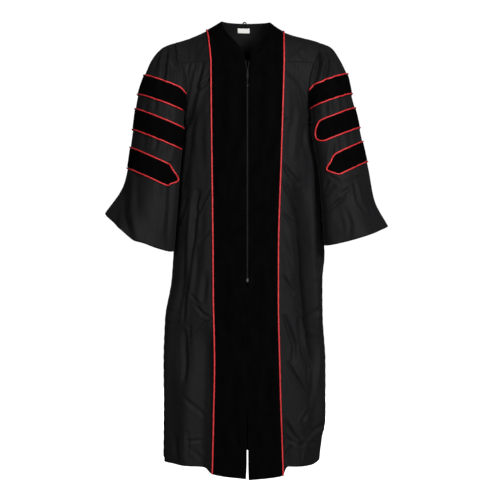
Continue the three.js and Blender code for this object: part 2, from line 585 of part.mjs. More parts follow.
// The back, from side seam to side seam and from the yoke to the hem.
function backGrid() {
  const { upper, lower } = panelRows(ARMHOLE_BACK, BACK_YOKE_ANGLE, [0, 1], BACK_ROW_STEP);
  const half = Array.from({ length: BACK_COLUMNS + 1 }, (_, j) => lerp(BEHIND_SEAM, 2, j / BACK_COLUMNS));
  const columns = [
    ...half.map((reach) => ({ sign: -1, reach })),
    ...half.slice(0, -1).reverse().map((reach) => ({ sign: 1, reach })),
  ];
  const rows = [
    ...upper.map((down) => columns.map(({ sign, reach }) => bodyPoint(sign, reach, down))),
    ...lower.map((share) =>
      columns.map(({ sign, reach }) => bodyPoint(sign, reach, belowUnderarm(sign, reach, share))),
    ),
  ];
  rows[0].forEach((p) => (p.z -= SEAM / 2));
  rows.slice(upper.length).forEach((row) => [row[0], row.at(-1)].forEach((p) => (p.y += SEAM / 2)));
  return gridOf(rows, { facing: 1 });
}

// Yokes

// The shoulder line at a distance from the centre plane.
function shoulderPoint(sign, x) {
  const share = clamp((x - NECK_HALF) / (ARMHOLE.topX - NECK_HALF), 0, 1);
  const height = lerp(NECK_HEIGHT, -ARMHOLE.topDown, share) - 4 * SHOULDER_SAG * share * (1 - share);
  return point(sign * x, -NECK_FORWARD * (1 - share), height);
}

// A point of the front yoke's surface: rise is 0 at its seam and 1 on the shoulder line.
function frontYokeSurface(sign, x, rise) {
  const planAt = (reach) => bodyPlan(sign, reach, FRONT_SEAM).plan;
  const foot = point(sign * x, planAt(rootOf((reach) => planAt(reach).x - x, -1, 1)).y, -FRONT_SEAM);
  const top = shoulderPoint(sign, x);
  const height = top.z - foot.z;
  const depth = top.y - foot.y;
  const aboveFoot = foot.clone().add(point(0, YOKE_RISE.seamForward * height, YOKE_RISE.seamUp * height));
  const beforeTop = top.clone().add(point(0, -YOKE_RISE.shoulderForward * depth, 0));
  return new THREE.CubicBezierCurve3(foot, aboveFoot, beforeTop, top).getPoint(rise);
}

// The front yoke's rows rise from its seam to the shoulder line, and its columns run from the neck's
// slope to the armhole, with one column along the velvet's edge.
function frontYokeGrid(sign) {
  const besideYoke = ARMHOLE_FRONT.filter((degrees) => degrees <= FRONT_YOKE_ANGLE);
  const angles = fillStops(besideYoke, YOKE_ANGLE_STEP).reverse();
  const velvetFoot = fromTable(VELVET_EDGE, "down", FRONT_SEAM, sideName(sign));
  const neckFoot = fromTable(CENTRE_EDGE, "down", FRONT_SEAM, sideName(sign));
  const rows = angles.map((degrees, i) => {
    const rise = i / (angles.length - 1);
    const neckX = lerp(neckFoot, NECK_HALF, rise);
    const neckZ = lerp(-FRONT_SEAM, NECK_HEIGHT, rise);
    const neckRise = rootOf((t) => frontYokeSurface(sign, neckX, t).z - neckZ);
    const velvetX = lerp(velvetFoot, VELVET_AT_SHOULDER[sideName(sign)], rise);
    const armhole = armholeEdge(sign, -1, degrees);
    const miss = armhole.clone().sub(frontYokeSurface(sign, Math.abs(armhole.x), rise));
    const underVelvet = Array.from({ length: VELVET_COLUMNS }, (_, j) => {
      const share = j / VELVET_COLUMNS;
      return frontYokeSurface(sign, lerp(neckX, velvetX, share), lerp(neckRise, rise, share));
    });
    const beside = Array.from({ length: YOKE_COLUMNS + 1 }, (_, j) => {
      const share = j / YOKE_COLUMNS;
      const x = lerp(velvetX, Math.abs(armhole.x), share);
      return frontYokeSurface(sign, x, rise).addScaledVector(miss, share * share);
    });
    return [...underVelvet, ...beside];
  });
  rows[0].forEach((p) => (p.z += SEAM / 2));
  rows.at(-1).forEach((p) => (p.y -= SEAM / 2));
  return gridOf(rows, { facing: sign });
}

// The back yoke's rows fan round the neck from the right shoulder line to the left one, and its
// columns run from the neck to the armhole and the seam.
function backYokeGrid() {
  const armholeAngles = ARMHOLE_BACK.filter((degrees) => degrees <= BACK_YOKE_ANGLE);
  const fan = armholeAngles.length - 1 + BACK_YOKE_SEAM_COLUMNS;
  const halfRows = (sign) =>
    Array.from({ length: fan + 1 }, (_, k) => {
      const turn = radians((90 * k) / fan);
      const neckY = lerp(-NECK_FORWARD, NECK_BACK.depth, Math.sin(turn));
      const neckZ = NECK_HEIGHT + NECK_BACK.rise * Math.sin(turn);
      const neck = point(sign * NECK_HALF * Math.cos(turn), neckY, neckZ);
      const seamReach = 1 + (k - armholeAngles.length + 1) / BACK_YOKE_SEAM_COLUMNS;
      const onArmhole = k < armholeAngles.length;
      const seam = bodyPlan(sign, Math.max(seamReach, BEHIND_SEAM), BACK_SEAM).plan;
      const outer = onArmhole
        ? armholeEdge(sign, 1, armholeAngles[k])
        : point(sign * seam.x, seam.y, -BACK_SEAM);
      if (k >= armholeAngles.length - 1) outer.z += SEAM / 2;
      const middle = between(neck, outer, 0.5);
      middle.y += BACK_BULGE.depth * Math.sin(turn);
      middle.z += lerp(-2 * SHOULDER_SAG, BACK_BULGE.rise, Math.sin(turn) ** 2);
      const radial = new THREE.QuadraticBezierCurve3(neck, middle, outer);
      const shoulderShare = (VELVET_AT_SHOULDER[sideName(sign)] - NECK_HALF) / (ARMHOLE.topX - NECK_HALF);
      const velvetShare = lerp(shoulderShare, VELVET_AT_BACK_NECK, smooth(k / fan, 0, 1));
      const shares = [
        ...Array.from({ length: VELVET_COLUMNS }, (_, j) => (velvetShare * j) / VELVET_COLUMNS),
        ...Array.from({ length: YOKE_COLUMNS + 1 }, (_, j) => lerp(velvetShare, 1, j / YOKE_COLUMNS)),
      ];
      return shares.map((share) => radial.getPoint(share));
    });
  const right = halfRows(-1);
  const left = halfRows(1).reverse();
  right[0].forEach((p) => (p.y += SEAM / 2));
  left.at(-1).forEach((p) => (p.y += SEAM / 2));
  return { ...gridOf([...right, ...left.slice(1)], { facing: -1 }), fan };
}

// Sleeves

// Columns round a sleeve: angles from its outer edge, positive towards the front, with the flute's phase.
function sleeveColumns() {
  const half = (corners) =>
    corners.slice(0, -1).flatMap((degrees, i) =>
      Array.from({ length: SLEEVE_SPLITS[i] }, (_, k) => lerp(degrees, corners[i + 1], k / SLEEVE_SPLITS[i])),
    );
  const front = half(ARMHOLE_FRONT);
  const back = half(ARMHOLE_BACK).slice(1).map((degrees) => -degrees);
  return [...front, 180, ...back.reverse()];
}

const SLEEVE_COLUMNS = sleeveColumns();

// How far a place is above the line along the upper edge of a bar and its piping.
function aboveBar(bar, place) {
  const steep = Math.hypot(1, bar.slope);
  const line = -bar.down - bar.slope * (bar.x - Math.abs(place.x)) + (BAR_HEIGHT / 2) * steep + PIPING;
  return place.z - line;
}

// Height of folds and flutes above the plain section. The flutes stand on every other column.
function sleeveRelief(sign, column, at, place) {
  const degrees = SLEEVE_COLUMNS[column];
  const flutes = SLEEVE_FLUTES;
  const firstBar = BARS.find((bar) => bar.side === sideName(sign));
  const overBar = smooth(aboveBar(firstBar, place), flutes.clear, flutes.fadeOut);
  const along = smooth(at, 0, flutes.fadeIn) * overBar;
  const round = 1 - smooth(Math.abs(degrees), flutes.widest - flutes.thin, flutes.widest);
  const uneven = 1 + SLEEVE_UNEVEN.share * Math.sin(SLEEVE_UNEVEN.beat * column);
  let relief = flutes.depth * along * round * uneven * (column % 2 === 0 ? 1 : -1);
  for (const fold of SLEEVE_FOLDS.filter((row) => row.side === sideName(sign))) {
    const away = (degrees - fold.angle) / fold.width;
    relief += fold.depth * smooth(at, fold.from, 1) * Math.exp(-away * away);
  }
  return relief;
}

function sleeveGrid(sign) {
  const table = SLEEVES[sideName(sign)];
  const rows = Array.from({ length: SLEEVE_ROWS + 1 }, (_, i) => {
    const at = (i / SLEEVE_ROWS) ** SLEEVE_CROWDING;
    const size = (column) => fromTable(table, "at", at, column);
    const outer = point(sign * size("outX"), size("outY"), -size("outDown"));
    const inner = point(sign * size("inX"), size("inY"), -size("inDown"));
    const drop = CUFF_DROP[sideName(sign)] * smooth(at, CUFF_DROP_FROM, 1);
    const outward = outer.clone().sub(inner).normalize();
    return SLEEVE_COLUMNS.map((degrees, column) => {
      const face = degrees >= 0 ? -1 : 1;
      const angle = radians(Math.abs(degrees));
      if (i === 0) {
        const edge = armholeEdge(sign, face, Math.abs(degrees));
        edge.x += sign * ARMHOLE_EASE;
        return edge;
      }
      const depth = face < 0 ? size("front") : size("back");
      const p = between(inner, outer, (1 + Math.cos(angle)) / 2);
      p.x -= sign * armholeBow(angle) * (1 - smooth(at, 0, SLEEVE_BOW_FADE));
      p.y += face * depth * Math.sin(angle);
      if (face < 0) p.z -= drop * Math.sin(angle);
      const lift = outward.clone().multiplyScalar(Math.cos(angle)).add(point(0, face * Math.sin(angle), 0));
      return p.addScaledVector(lift, sleeveRelief(sign, column, at, p));
    });
  });
  return gridOf(rows, { facing: sign, closed: true });
}

// A point on a grid's own facets, with its normal, at a fraction of a column and of a row.
function onGrid(grid, column, row) {
  const width = grid.rows[0].length;
  const j = Math.floor(column);
  const i = Math.min(Math.floor(row), grid.rows.length - 2);
  const mix = (table) => {
    const pick = (k) => between(table[i][(k + width) % width], table[i + 1][(k + width) % width], row - i);
    return between(pick(j), pick(j + 1), column - j);
  };
  return { place: mix(grid.rows), normal: mix(grid.normals).normalize() };
}

// The column number, with a fraction, at an angle round the sleeve.
function sleeveColumnAt(degrees) {
  const count = SLEEVE_COLUMNS.length;
  const back = SLEEVE_COLUMNS.findIndex((angle) => angle < 0);
  const angleOf = (column) => SLEEVE_COLUMNS[(column + count) % count];
  let column = back - count;
  while (column < back - 2 && degrees > angleOf(column + 1)) column += 1;
  const share = (degrees - angleOf(column)) / (angleOf(column + 1) - angleOf(column));
  return column + share;
}

// The sleeve's row, with a fraction, at an angle round the sleeve and a share of the way down a bar.
function barRow(grid, bar, degrees, share) {
  const column = sleeveColumnAt(degrees);
  const steep = Math.hypot(1, bar.slope);
  const missing = (row) => {
    const { place } = onGrid(grid, column, row);
    const line = -bar.down - bar.slope * (bar.x - Math.abs(place.x)) + (0.5 - share) * BAR_HEIGHT * steep;
    return line - place.z;
  };
  return rootOf(missing, BAR_SEARCH_FROM, SLEEVE_ROWS);
}

const barPlace = (grid, bar, degrees, share) =>
  onGrid(grid, sleeveColumnAt(degrees), barRow(grid, bar, degrees, share));

// Angles of a bar's columns: the sleeve's own, and those where the bar starts to narrow, within its points.
// The inset at each point is a share of the stretch over which the bar narrows to it.
function barAngles(bar, inset) {
  const low = -bar.back + BAR_TIPS.mid.point * inset;
  const high = bar.front - BAR_TIPS[bar.tip].point * inset;
  const own = SLEEVE_COLUMNS.filter((degrees) => degrees > low + BAR_CLEAR && degrees < high - BAR_CLEAR);
  return [low, ...own, BAR_TIPS.mid.point - bar.back, bar.front - BAR_TIPS[bar.tip].point, high]
    .filter((degrees, i, all) => all.indexOf(degrees) === i)
    .sort((a, b) => a - b);
}

// The edges of a bar at an angle, as shares of the way down it. They meet at its points.
function barEdges(bar, degrees) {
  const toFront = clamp((bar.front - degrees) / BAR_TIPS[bar.tip].point, 0, 1);
  const toBack = clamp((bar.back + degrees) / BAR_TIPS.mid.point, 0, 1);
  const { share } = toFront < toBack ? BAR_TIPS[bar.tip] : BAR_TIPS.mid;
  const open = Math.min(toFront, toBack);
  return { top: share * (1 - open), foot: lerp(share, 1, open) };
}

// A velvet bar, kept inside its piping.
function barGrid(grid, sign, bar) {
  const margin = (BAR_INSET.side * (PIPING / 2 + SEAM)) / BAR_HEIGHT;
  const columns = barAngles(bar, 2 * (margin + BAR_INSET.least)).map((degrees) => {
    const edges = barEdges(bar, degrees);
    const centre = (edges.top + edges.foot) / 2;
    const half = Math.max((edges.foot - edges.top) / 2 - margin, BAR_INSET.least);
    const top = barRow(grid, bar, degrees, centre - half);
    const foot = barRow(grid, bar, degrees, centre + half);
    const crossed = Math.round((top + foot) / 2);
    const inside = crossed > top + BAR_MIDDLE_CLEAR && crossed < foot - BAR_MIDDLE_CLEAR;
    const middle = inside ? crossed : (top + foot) / 2;
    return [top, middle, foot].map((row) => onGrid(grid, sleeveColumnAt(degrees), row));
  });
  const rows = [0, 1, 2].map((level) => columns.map((column) => column[level]));
  const places = rows.map((row) => row.map((at) => at.place));
  const normals = rows.map((row) => row.map((at) => at.normal));
  return { rows: places, normals, facing: sign, closed: false };
}

// The line round a bar: along its top from the back point to the front one, and back along its foot.
function barOutline(grid, bar) {
  const angles = barAngles(bar, 0);
  const top = angles.map((degrees) => barPlace(grid, bar, degrees, barEdges(bar, degrees).top));
  const foot = angles.slice(1, -1).reverse()
    .map((degrees) => barPlace(grid, bar, degrees, barEdges(bar, degrees).foot));
  return [...top, ...foot];
}

// Velvet facings and their piping

// The strip of cloth under a facing: up the front, over the shoulder and round the back neck to the centre.
function facingGrid(sign, front, yoke, backYoke) {
  const strip = (part) => {
    const pick = (grid) => grid[part].map((row) => row.slice(0, VELVET_COLUMNS + 1).map((p) => p.clone()));
    const all = pick(backYoke);
    const round = sign < 0 ? all.slice(1, backYoke.fan + 1) : all.slice(backYoke.fan, -1).reverse();
    return [...pick(front).reverse(), ...pick(yoke).slice(1), ...round];
  };
  const rows = strip("rows");
  rows.at(-1).forEach((p) => (p.x += (sign * SEAM) / 2));
  return { rows, normals: strip("normals"), facing: sign, closed: false };
}

// The same strip with its outer edge drawn in, to leave room for the piping.
function facingInsidePiping(grid) {
  const room = PIPING / 2 + SEAM;
  const drawnIn = (table) =>
    table.map((row, i) => {
      const share = room / grid.rows[i].at(-1).distanceTo(grid.rows[i].at(-2));
      return [...row.slice(0, -1), between(row.at(-1), row.at(-2), share)];
    });
  return { ...grid, rows: drawnIn(grid.rows), normals: drawnIn(grid.normals) };
}

// Zip

// A narrow strip down one side of the zip, from one distance to another off the front's edge.
function zipStrip(sign, front, from, to, lift, thickness) {
  const rows = front.rows
    .map((row, i) => ({ edge: row[0], beside: row[1], normal: front.normals[i][0] }))
    .filter(({ edge }) => edge.z >= -ZIP.bottom)
    .map(({ edge, beside, normal }) => {
      const aside = beside.clone().sub(edge).normalize();
      return { normal, places: [from, to].map((distance) => edge.clone().addScaledVector(aside, distance)) };
    });
  const grid = {
    rows: rows.map((row) => row.places),
    normals: rows.map((row) => [row.normal, row.normal]),
    facing: -sign,
    closed: false,
  };
  return wall(grid, thickness, lift);
}

const roundedPlate = (width, height, radius) => {
  const shape = new THREE.Shape();
  const x = width / 2 - radius;
  const y = height / 2 - radius;
  shape.absarc(x, y, radius, 0, Math.PI / 2);
  shape.absarc(-x, y, radius, Math.PI / 2, Math.PI);
  shape.absarc(-x, -y, radius, Math.PI, 1.5 * Math.PI);
  shape.absarc(x, -y, radius, 1.5 * Math.PI, 2 * Math.PI);
  return shape;
};
const extruded = (shape, depth) =>
  new THREE.ExtrudeGeometry(shape, { depth, bevelEnabled: false, curveSegments: 4 });
const moved = (x, y, z) => new THREE.Matrix4().makeTranslation(x, y, z);

// The slider and its pull are drawn lying flat: x across the zip, y up it, and z out from the cloth.
function sliderGeometry() {
  const chain = ZIP.teeth / 2 + SEAM;
  const body = roundedPlate(SLIDER.width, SLIDER.height, SLIDER.corner);
  const top = SLIDER.height / 2;
  const reach = top - BRIDGE.inset;
  const inner = reach - BRIDGE.leg;
  const height = BRIDGE.tunnel + BRIDGE.crown;
  const bridgeShape = new THREE.Shape();
  bridgeShape.moveTo(-reach, 0);
  bridgeShape.lineTo(-reach + BRIDGE.leanOut, height);
  bridgeShape.lineTo(reach - BRIDGE.leanOut, height);
  bridgeShape.lineTo(reach, 0);
  bridgeShape.lineTo(inner, 0);
  bridgeShape.lineTo(inner - BRIDGE.leanIn, BRIDGE.tunnel);
  bridgeShape.lineTo(-inner + BRIDGE.leanIn, BRIDGE.tunnel);
  bridgeShape.lineTo(-inner, 0);
  const upright = new THREE.Matrix4().makeBasis(point(0, 1, 0), point(0, 0, 1), point(1, 0, 0));
  const bridge = extruded(bridgeShape, BRIDGE.width).applyMatrix4(upright);
  const post = new THREE.BoxGeometry(SLIDER_POST.width, SLIDER_POST.length, 2 * chain + SLIDER.plate);
  const solid = solidOf(extruded(body, SLIDER.plate), moved(0, 0, chain))
    .add(solidOf(extruded(body, SLIDER.plate), moved(0, 0, -chain - SLIDER.plate)))
    .add(solidOf(post, moved(0, top - SLIDER_POST.inset, 0)))
    .add(solidOf(bridge, moved(-BRIDGE.width / 2, 0, chain + SLIDER.plate - BRIDGE_SUNK)));
  return geometryOfSolid(solid);
}

// The pull's upper bar lies under the slider's bridge and is what it turns on.
function pullGeometry() {
  const shape = roundedPlate(PULL.width, PULL.length, PULL.corner);
  const slotWidth = BRIDGE.width + PULL.slotRoom;
  const slotTop = PULL.length / 2 - PULL.bar;
  const slot = new THREE.Path();
  slot.moveTo(-slotWidth / 2, slotTop);
  slot.lineTo(-slotWidth / 2, slotTop - PULL.slot);
  slot.lineTo(slotWidth / 2, slotTop - PULL.slot);
  slot.lineTo(slotWidth / 2, slotTop);
  shape.holes.push(slot);
  const barY = PULL.length / 2 - PULL.bar / 2;
  return extruded(shape, PULL.thickness).translate(0, -barY, -PULL.thickness / 2);
}

// Building

// Two edges that meet share their normals, so that their rims are parallel.
function shareNormals(one, other) {
  one.forEach((normal, j) => {
    normal.add(other[j]).normalize();
    other[j].copy(normal);
  });
}

const fronts = {};
const yokes = {};
const backYoke = backYokeGrid();
for (const { name, sign } of SIDES) {
  fronts[name] = frontGrid(sign);
  yokes[name] = frontYokeGrid(sign);
  const underVelvet = (row) => row.slice(0, VELVET_COLUMNS + 1);
  shareNormals(yokes[name].normals.at(-1), backYoke.normals.at(sign < 0 ? 0 : -1));
  shareNormals(underVelvet(yokes[name].normals[0]), underVelvet(fronts[name].normals[0]));
  add(`front_${name}`, wall(fronts[name], CLOTH), CLOTH_BLACK);
  add(`yoke_front_${name}`, wall(yokes[name], CLOTH), CLOTH_BLACK);
}
add("yoke_back", wall(backYoke, CLOTH), CLOTH_BLACK);
add("back", wall(backGrid(), CLOTH), CLOTH_BLACK);

for (const { name, sign } of SIDES) {
  const sleeve = sleeveGrid(sign);
  add(`sleeve_${name}`, wall(sleeve, CLOTH), CLOTH_BLACK);
  for (const bar of BARS.filter((row) => row.side === name)) {
    const lift = CLOTH / 2 + SEAM + bar.lift;
    const outline = barOutline(sleeve, bar);
    const places = outline.map((at) => at.place);
    const normals = outline.map((at) => at.normal);
    const bare = barGrid(sleeve, sign, bar);
    add(`bar_${name}_${bar.number}`, wall(bare, VELVET, lift + VELVET / 2), VELVET_BLACK);
    const cord = pipe(places, normals, PIPING, lift, { closed: true, sides: 4 });
    add(`bar_piping_${name}_${bar.number}`, cord, PIPING_RED);
  }
  const facing = facingGrid(sign, fronts[name], yokes[name], backYoke);
  const lift = CLOTH / 2 + SEAM + FACING_LIFT;
  add(`velvet_${name}`, wall(facingInsidePiping(facing), VELVET, lift + VELVET / 2), VELVET_BLACK);
  const edge = facing.rows.map((row) => row.at(-1));
  const edgeNormals = facing.normals.map((row) => row.at(-1));
  add(`piping_${name}`, pipe(edge, edgeNormals, PIPING, lift), PIPING_RED);
}

for (const { name, sign } of SIDES) {
  const edge = CENTRE_EDGE.find((row) => row.down === ZIP.parts)[name];
  const strip = (from, to, thickness) => {
    const lift = -CLOTH / 2 - SEAM - ZIP.tape / 2;
    return zipStrip(sign, fronts[name], from - edge, to - edge, lift, thickness);
  };
  add(`zip_tape_${name}`, strip(ZIP.tooth + 2 * SEAM, ZIP.tapeWidth, ZIP.tape), ZIP_BLACK);
  add(`zip_teeth_${name}`, strip(SEAM, ZIP.tooth + SEAM, ZIP.teeth), ZIP_BLACK);
}

// A frame on the zip at a height: x across it, y up it and z out from the cloth, from the teeth's middle.
function onZip(down) {
  const rows = fronts.right.rows;
  const below = rows.findIndex((row) => row[0].z < -down);
  const low = rows[below][0].clone().setX(0);
  const high = rows[below - 1][0].clone().setX(0);
  const up = high.clone().sub(low);
  const place = low.clone().addScaledVector(up, (-down - low.z) / up.z);
  const across = point(1, 0, 0);
  const out = across.clone().cross(up.normalize());
  place.addScaledVector(out, -CLOTH / 2 - SEAM - ZIP.tape / 2);
  const frame = new THREE.Group();
  frame.applyMatrix4(new THREE.Matrix4().makeBasis(across, up, out).setPosition(place));
  gown.add(frame);
  return frame;
}

const chainFront = ZIP.teeth / 2 + SEAM;
const sliderFrame = onZip(SLIDER.down);
add("zip_slider", sliderGeometry(), ZIP_METAL, sliderFrame);
const pull = add("zip_pull_tab", pullGeometry(), ZIP_METAL, sliderFrame);
pull.position.set(0, 0, chainFront + SLIDER.plate + BRIDGE.tunnel / 2);
const stopShape = roundedPlate(ZIP_STOP.width, ZIP_STOP.height, ZIP_STOP.corner);
const stop = add("zip_stop", extruded(stopShape, ZIP_STOP.thickness), STOP_METAL, onZip(ZIP_STOP.down));
stop.position.set(0, 0, chainFront);

// The loop stands up from the inside of the back neck.
const neckInside = NECK_BACK.depth - LOOP.inset - CLOTH / 2 - SEAM - LOOP.cord / 2;
const neckTop = NECK_HEIGHT + NECK_BACK.rise;
const arch = Array.from({ length: LOOP.segments + 1 }, (_, k) => {
  const turn = Math.PI * (1 - k / LOOP.segments);
  const x = LOOP.x + (LOOP.width / 2) * Math.cos(turn);
  return point(x, neckInside, neckTop + LOOP.above * Math.sin(turn));
});
const foot = (p) => p.clone().setZ(neckTop - LOOP.sunk);
const loopPath = [foot(arch[0]), ...arch, foot(arch.at(-1))];
const loopNormals = loopPath.map(() => point(0, -1, 0));
add("neck_loop", pipe(loopPath, loopNormals, LOOP.cord, -LOOP.cord / 2), CLOTH_BLACK);

// The place on the back yoke at a distance from the centre plane and a height, near the centre back.
function onBackYoke(x, height) {
  const columnAt = (row) =>
    rootOf((column) => height - onGrid(backYoke, column, row).place.z, 0, VELVET_COLUMNS + YOKE_COLUMNS - 1);
  const row = rootOf(
    (at) => onGrid(backYoke, columnAt(at), at).place.x - x,
    backYoke.fan - LABEL_SEARCH,
    backYoke.fan + LABEL_SEARCH,
  );
  return onGrid(backYoke, columnAt(row), row);
}

const labelAt = Array.from({ length: LABEL.rows + 1 }, (_, i) =>
  Array.from({ length: LABEL.columns + 1 }, (_, j) =>
    onBackYoke(
      LABEL.x + LABEL.width * (j / LABEL.columns - 0.5),
      LABEL.top - (LABEL.height * i) / LABEL.rows,
    ),
  ),
);
const labelGrid = {
  rows: labelAt.map((row) => row.map((at) => at.place)),
  normals: labelAt.map((row) => row.map((at) => at.normal)),
  facing: 1,
  closed: false,
};
add("label", wall(labelGrid, LABEL.thickness, -CLOTH / 2 - SEAM - LABEL.thickness / 2), LABEL_WHITE);

export default gown;
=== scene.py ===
"""Doctoral graduation gown: fine cloth, velvet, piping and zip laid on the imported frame.

Sizes are millimetres in the tables and metres in the meshes. +Z is up and the front faces -Y. Left and
right are the wearer's own, so the right side lies at -X. Heights are given as "down", the distance below
the shoulder line.
"""

from __future__ import annotations

import logging
import math
from collections.abc import Callable, Iterator, Sequence
from contextlib import contextmanager
from dataclasses import dataclass, field
from enum import Enum
from typing import Any, NamedTuple

import bmesh
import bpy
import numpy as np
from mathutils import Matrix, Vector


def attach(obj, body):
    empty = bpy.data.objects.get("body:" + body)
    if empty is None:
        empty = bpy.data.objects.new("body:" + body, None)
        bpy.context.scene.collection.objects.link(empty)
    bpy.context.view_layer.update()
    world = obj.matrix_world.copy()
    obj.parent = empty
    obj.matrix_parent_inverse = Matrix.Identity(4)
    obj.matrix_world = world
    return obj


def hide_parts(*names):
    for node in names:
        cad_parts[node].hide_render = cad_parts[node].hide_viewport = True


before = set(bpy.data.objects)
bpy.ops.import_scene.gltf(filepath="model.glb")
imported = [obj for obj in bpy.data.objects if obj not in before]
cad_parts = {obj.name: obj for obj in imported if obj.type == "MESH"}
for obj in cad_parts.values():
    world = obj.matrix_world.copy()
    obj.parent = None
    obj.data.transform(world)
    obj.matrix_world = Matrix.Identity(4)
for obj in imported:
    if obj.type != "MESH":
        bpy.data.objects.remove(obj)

Array = np.ndarray
Pair = tuple[float, float]
log = logging.getLogger("gown")
MM = 0.001
MERGE = 1e-6
HALVINGS = 34


class Side(Enum):
    """A side of the gown, with the sign of its X."""

    RIGHT = -1
    LEFT = 1

    def __str__(self) -> str:
        """The side's name in piece and node names."""
        return self.name.lower()


class Face(Enum):
    """The front or back half of the body or of a sleeve, with the sign of its Y."""

    FRONT = -1
    BACK = 1


class Tip(Enum):
    """A bar's end: how far down the bar its point is, the degrees over which it narrows, and its roundness.

    MID and BLUNT end on the sleeve, EDGE runs round its inner edge and SEAM into the armhole seam.
    """

    MID = (0.5, 30, 1.05)
    BLUNT = (0.66, 27, 1.5)
    EDGE = (0.5, 3, 1.0)
    SEAM = (0.8, 3, 1.0)


class Held(Enum):
    """How a sheet of cloth is held."""

    HUNG = "hung"
    GATHERED = "gathered"
    STRETCHED = "stretched"


# Numbers on arrays


def smooth(value: Array | float, low: float, high: float) -> Array:
    """A step that rises smoothly from 0 at low to 1 at high."""
    t = np.clip((np.asarray(value, float) - low) / (high - low), 0, 1)
    return t * t * (3 - 2 * t)


def lerp(a: Array | float, b: Array | float, share: Array | float) -> Array:
    """The value at a share of the way from a to b."""
    return a + (b - a) * share


def unit(vectors: Array) -> Array:
    """Vectors along the last axis, scaled to length 1."""
    length = np.linalg.norm(vectors, axis=-1, keepdims=True)
    return vectors / np.where(length == 0, 1, length)


def run_length(points: Array) -> Array:
    """The length along a line of points, up to each of them."""
    return np.concatenate([[0], np.cumsum(np.linalg.norm(np.diff(points, axis=0), axis=1))])


def at_lengths(places: Array, lengths: Array, table: Array) -> Array:
    """A table's vectors at places along a line, by the length up to each of its points."""
    return np.stack([np.interp(places, lengths, column) for column in table.T], axis=1)


def root_of(rising: Callable[[Array], Array], low: Array, high: Array) -> Array:
    """Places at which a rising function reaches zero.

    Args:
        rising: Function of an array of places.
        low: Lowest places, one for each root.
        high: Highest places, one for each root.

    Returns:
        The roots, in the shape of low.
    """
    low, high = np.array(low, float), np.array(high, float)
    for _ in range(HALVINGS):
        middle = (low + high) / 2
        below = rising(middle) < 0
        low, high = np.where(below, middle, low), np.where(below, high, middle)
    return (low + high) / 2


class Curve:
    """A smooth curve through a table's rows that never overshoots them."""

    def __init__(self, rows: Sequence[NamedTuple], key: str, column: str) -> None:
        """Reads two columns of a table.

        Args:
            rows: The table's rows, in the order of the key.
            key: Name of the column that the curve runs along.
            column: Name of the column that it gives.
        """
        self.places = np.array([getattr(row, key) for row in rows], float)
        self.values = np.array([getattr(row, column) for row in rows], float)
        self.spans = np.diff(self.places)
        slope = np.diff(self.values) / self.spans
        product, total = slope[:-1] * slope[1:], slope[:-1] + slope[1:]
        inner = np.where(product > 0, 2 * product / np.where(total == 0, 1, total), 0)
        self.tangents = np.concatenate([slope[:1], inner, slope[-1:]])

    def at(self, place: Array | float) -> Array:
        """The curve's value, held level past its ends.

        Args:
            place: Places along the key.

        Returns:
            The column's values there.
        """
        place = np.clip(place, self.places[0], self.places[-1])
        i = np.clip(np.searchsorted(self.places, place) - 1, 0, len(self.spans) - 1)
        span = self.spans[i]
        t = (place - self.places[i]) / span
        return (
            self.values[i] * (1 + 2 * t) * (1 - t) ** 2
            + span * self.tangents[i] * t * (1 - t) ** 2
            + self.values[i + 1] * (3 - 2 * t) * t**2
            + span * self.tangents[i + 1] * (t - 1) * t**2
        )


# Cloth grids and meshes


@dataclass
class Grid:
    """Points of a cloth piece in rows and columns, in millimetres.

    (next column - column) x (next row - row) points out of the cloth once multiplied by facing.
    """

    points: Array
    facing: int = 1
    closed: bool = False
    normals: Array = field(init=False)

    def __post_init__(self) -> None:
        """Works out the outward normals."""
        if self.closed:
            wrapped = np.concatenate([self.points[:, -1:], self.points, self.points[:, :1]], axis=1)
            across = wrapped[:, 2:] - wrapped[:, :-2]
        else:
            across = np.gradient(self.points, axis=1)
        down = np.gradient(self.points, axis=0)
        self.normals = unit(np.cross(across, down)) * self.facing

    def moved_out(self, distance: Array | float) -> Array:
        """The grid's points moved along their normals."""
        distance = np.asarray(distance, float)
        return self.points + self.normals * (distance[..., None] if distance.ndim else distance)

    def sample(self, row: Array, column: Array) -> tuple[Array, Array]:
        """Points and normals at fractions of rows and columns.

        Args:
            row: Row numbers, with fractions.
            column: Column numbers, with fractions, which wrap round a closed grid.

        Returns:
            The points, and the normals there.
        """
        height, width = self.points.shape[:2]
        i = np.clip(np.floor(row).astype(int), 0, height - 2)
        j = np.floor(column).astype(int)
        if not self.closed:
            j = np.clip(j, 0, width - 2)
        u, v = (column - j)[..., None], (row - i)[..., None]
        j0, j1 = j % width, (j + 1) % width

        def mix(table: Array) -> Array:
            """A table's values at the places."""
            return lerp(lerp(table[i, j0], table[i, j1], u), lerp(table[i + 1, j0], table[i + 1, j1], u), v)

        return mix(self.points), unit(mix(self.normals))


@dataclass(frozen=True)
class Cut:
    """A sheet's flat cut before it is sewn, in metres, how it is held and its area if not a rectangle's."""

    flat: Pair
    held: Held
    area: float | None = None


@contextmanager
def editing(mesh: bpy.types.Mesh, source: bpy.types.Mesh | None = None) -> Iterator[bmesh.types.BMesh]:
    """Opens a mesh to bmesh operators and writes it back.

    Args:
        mesh: The mesh that is written.
        source: The mesh to start from, if it is another one.

    Yields:
        The open mesh.
    """
    bm = bmesh.new()
    bm.from_mesh(source or mesh)
    yield bm
    bm.to_mesh(mesh)
    bm.free()


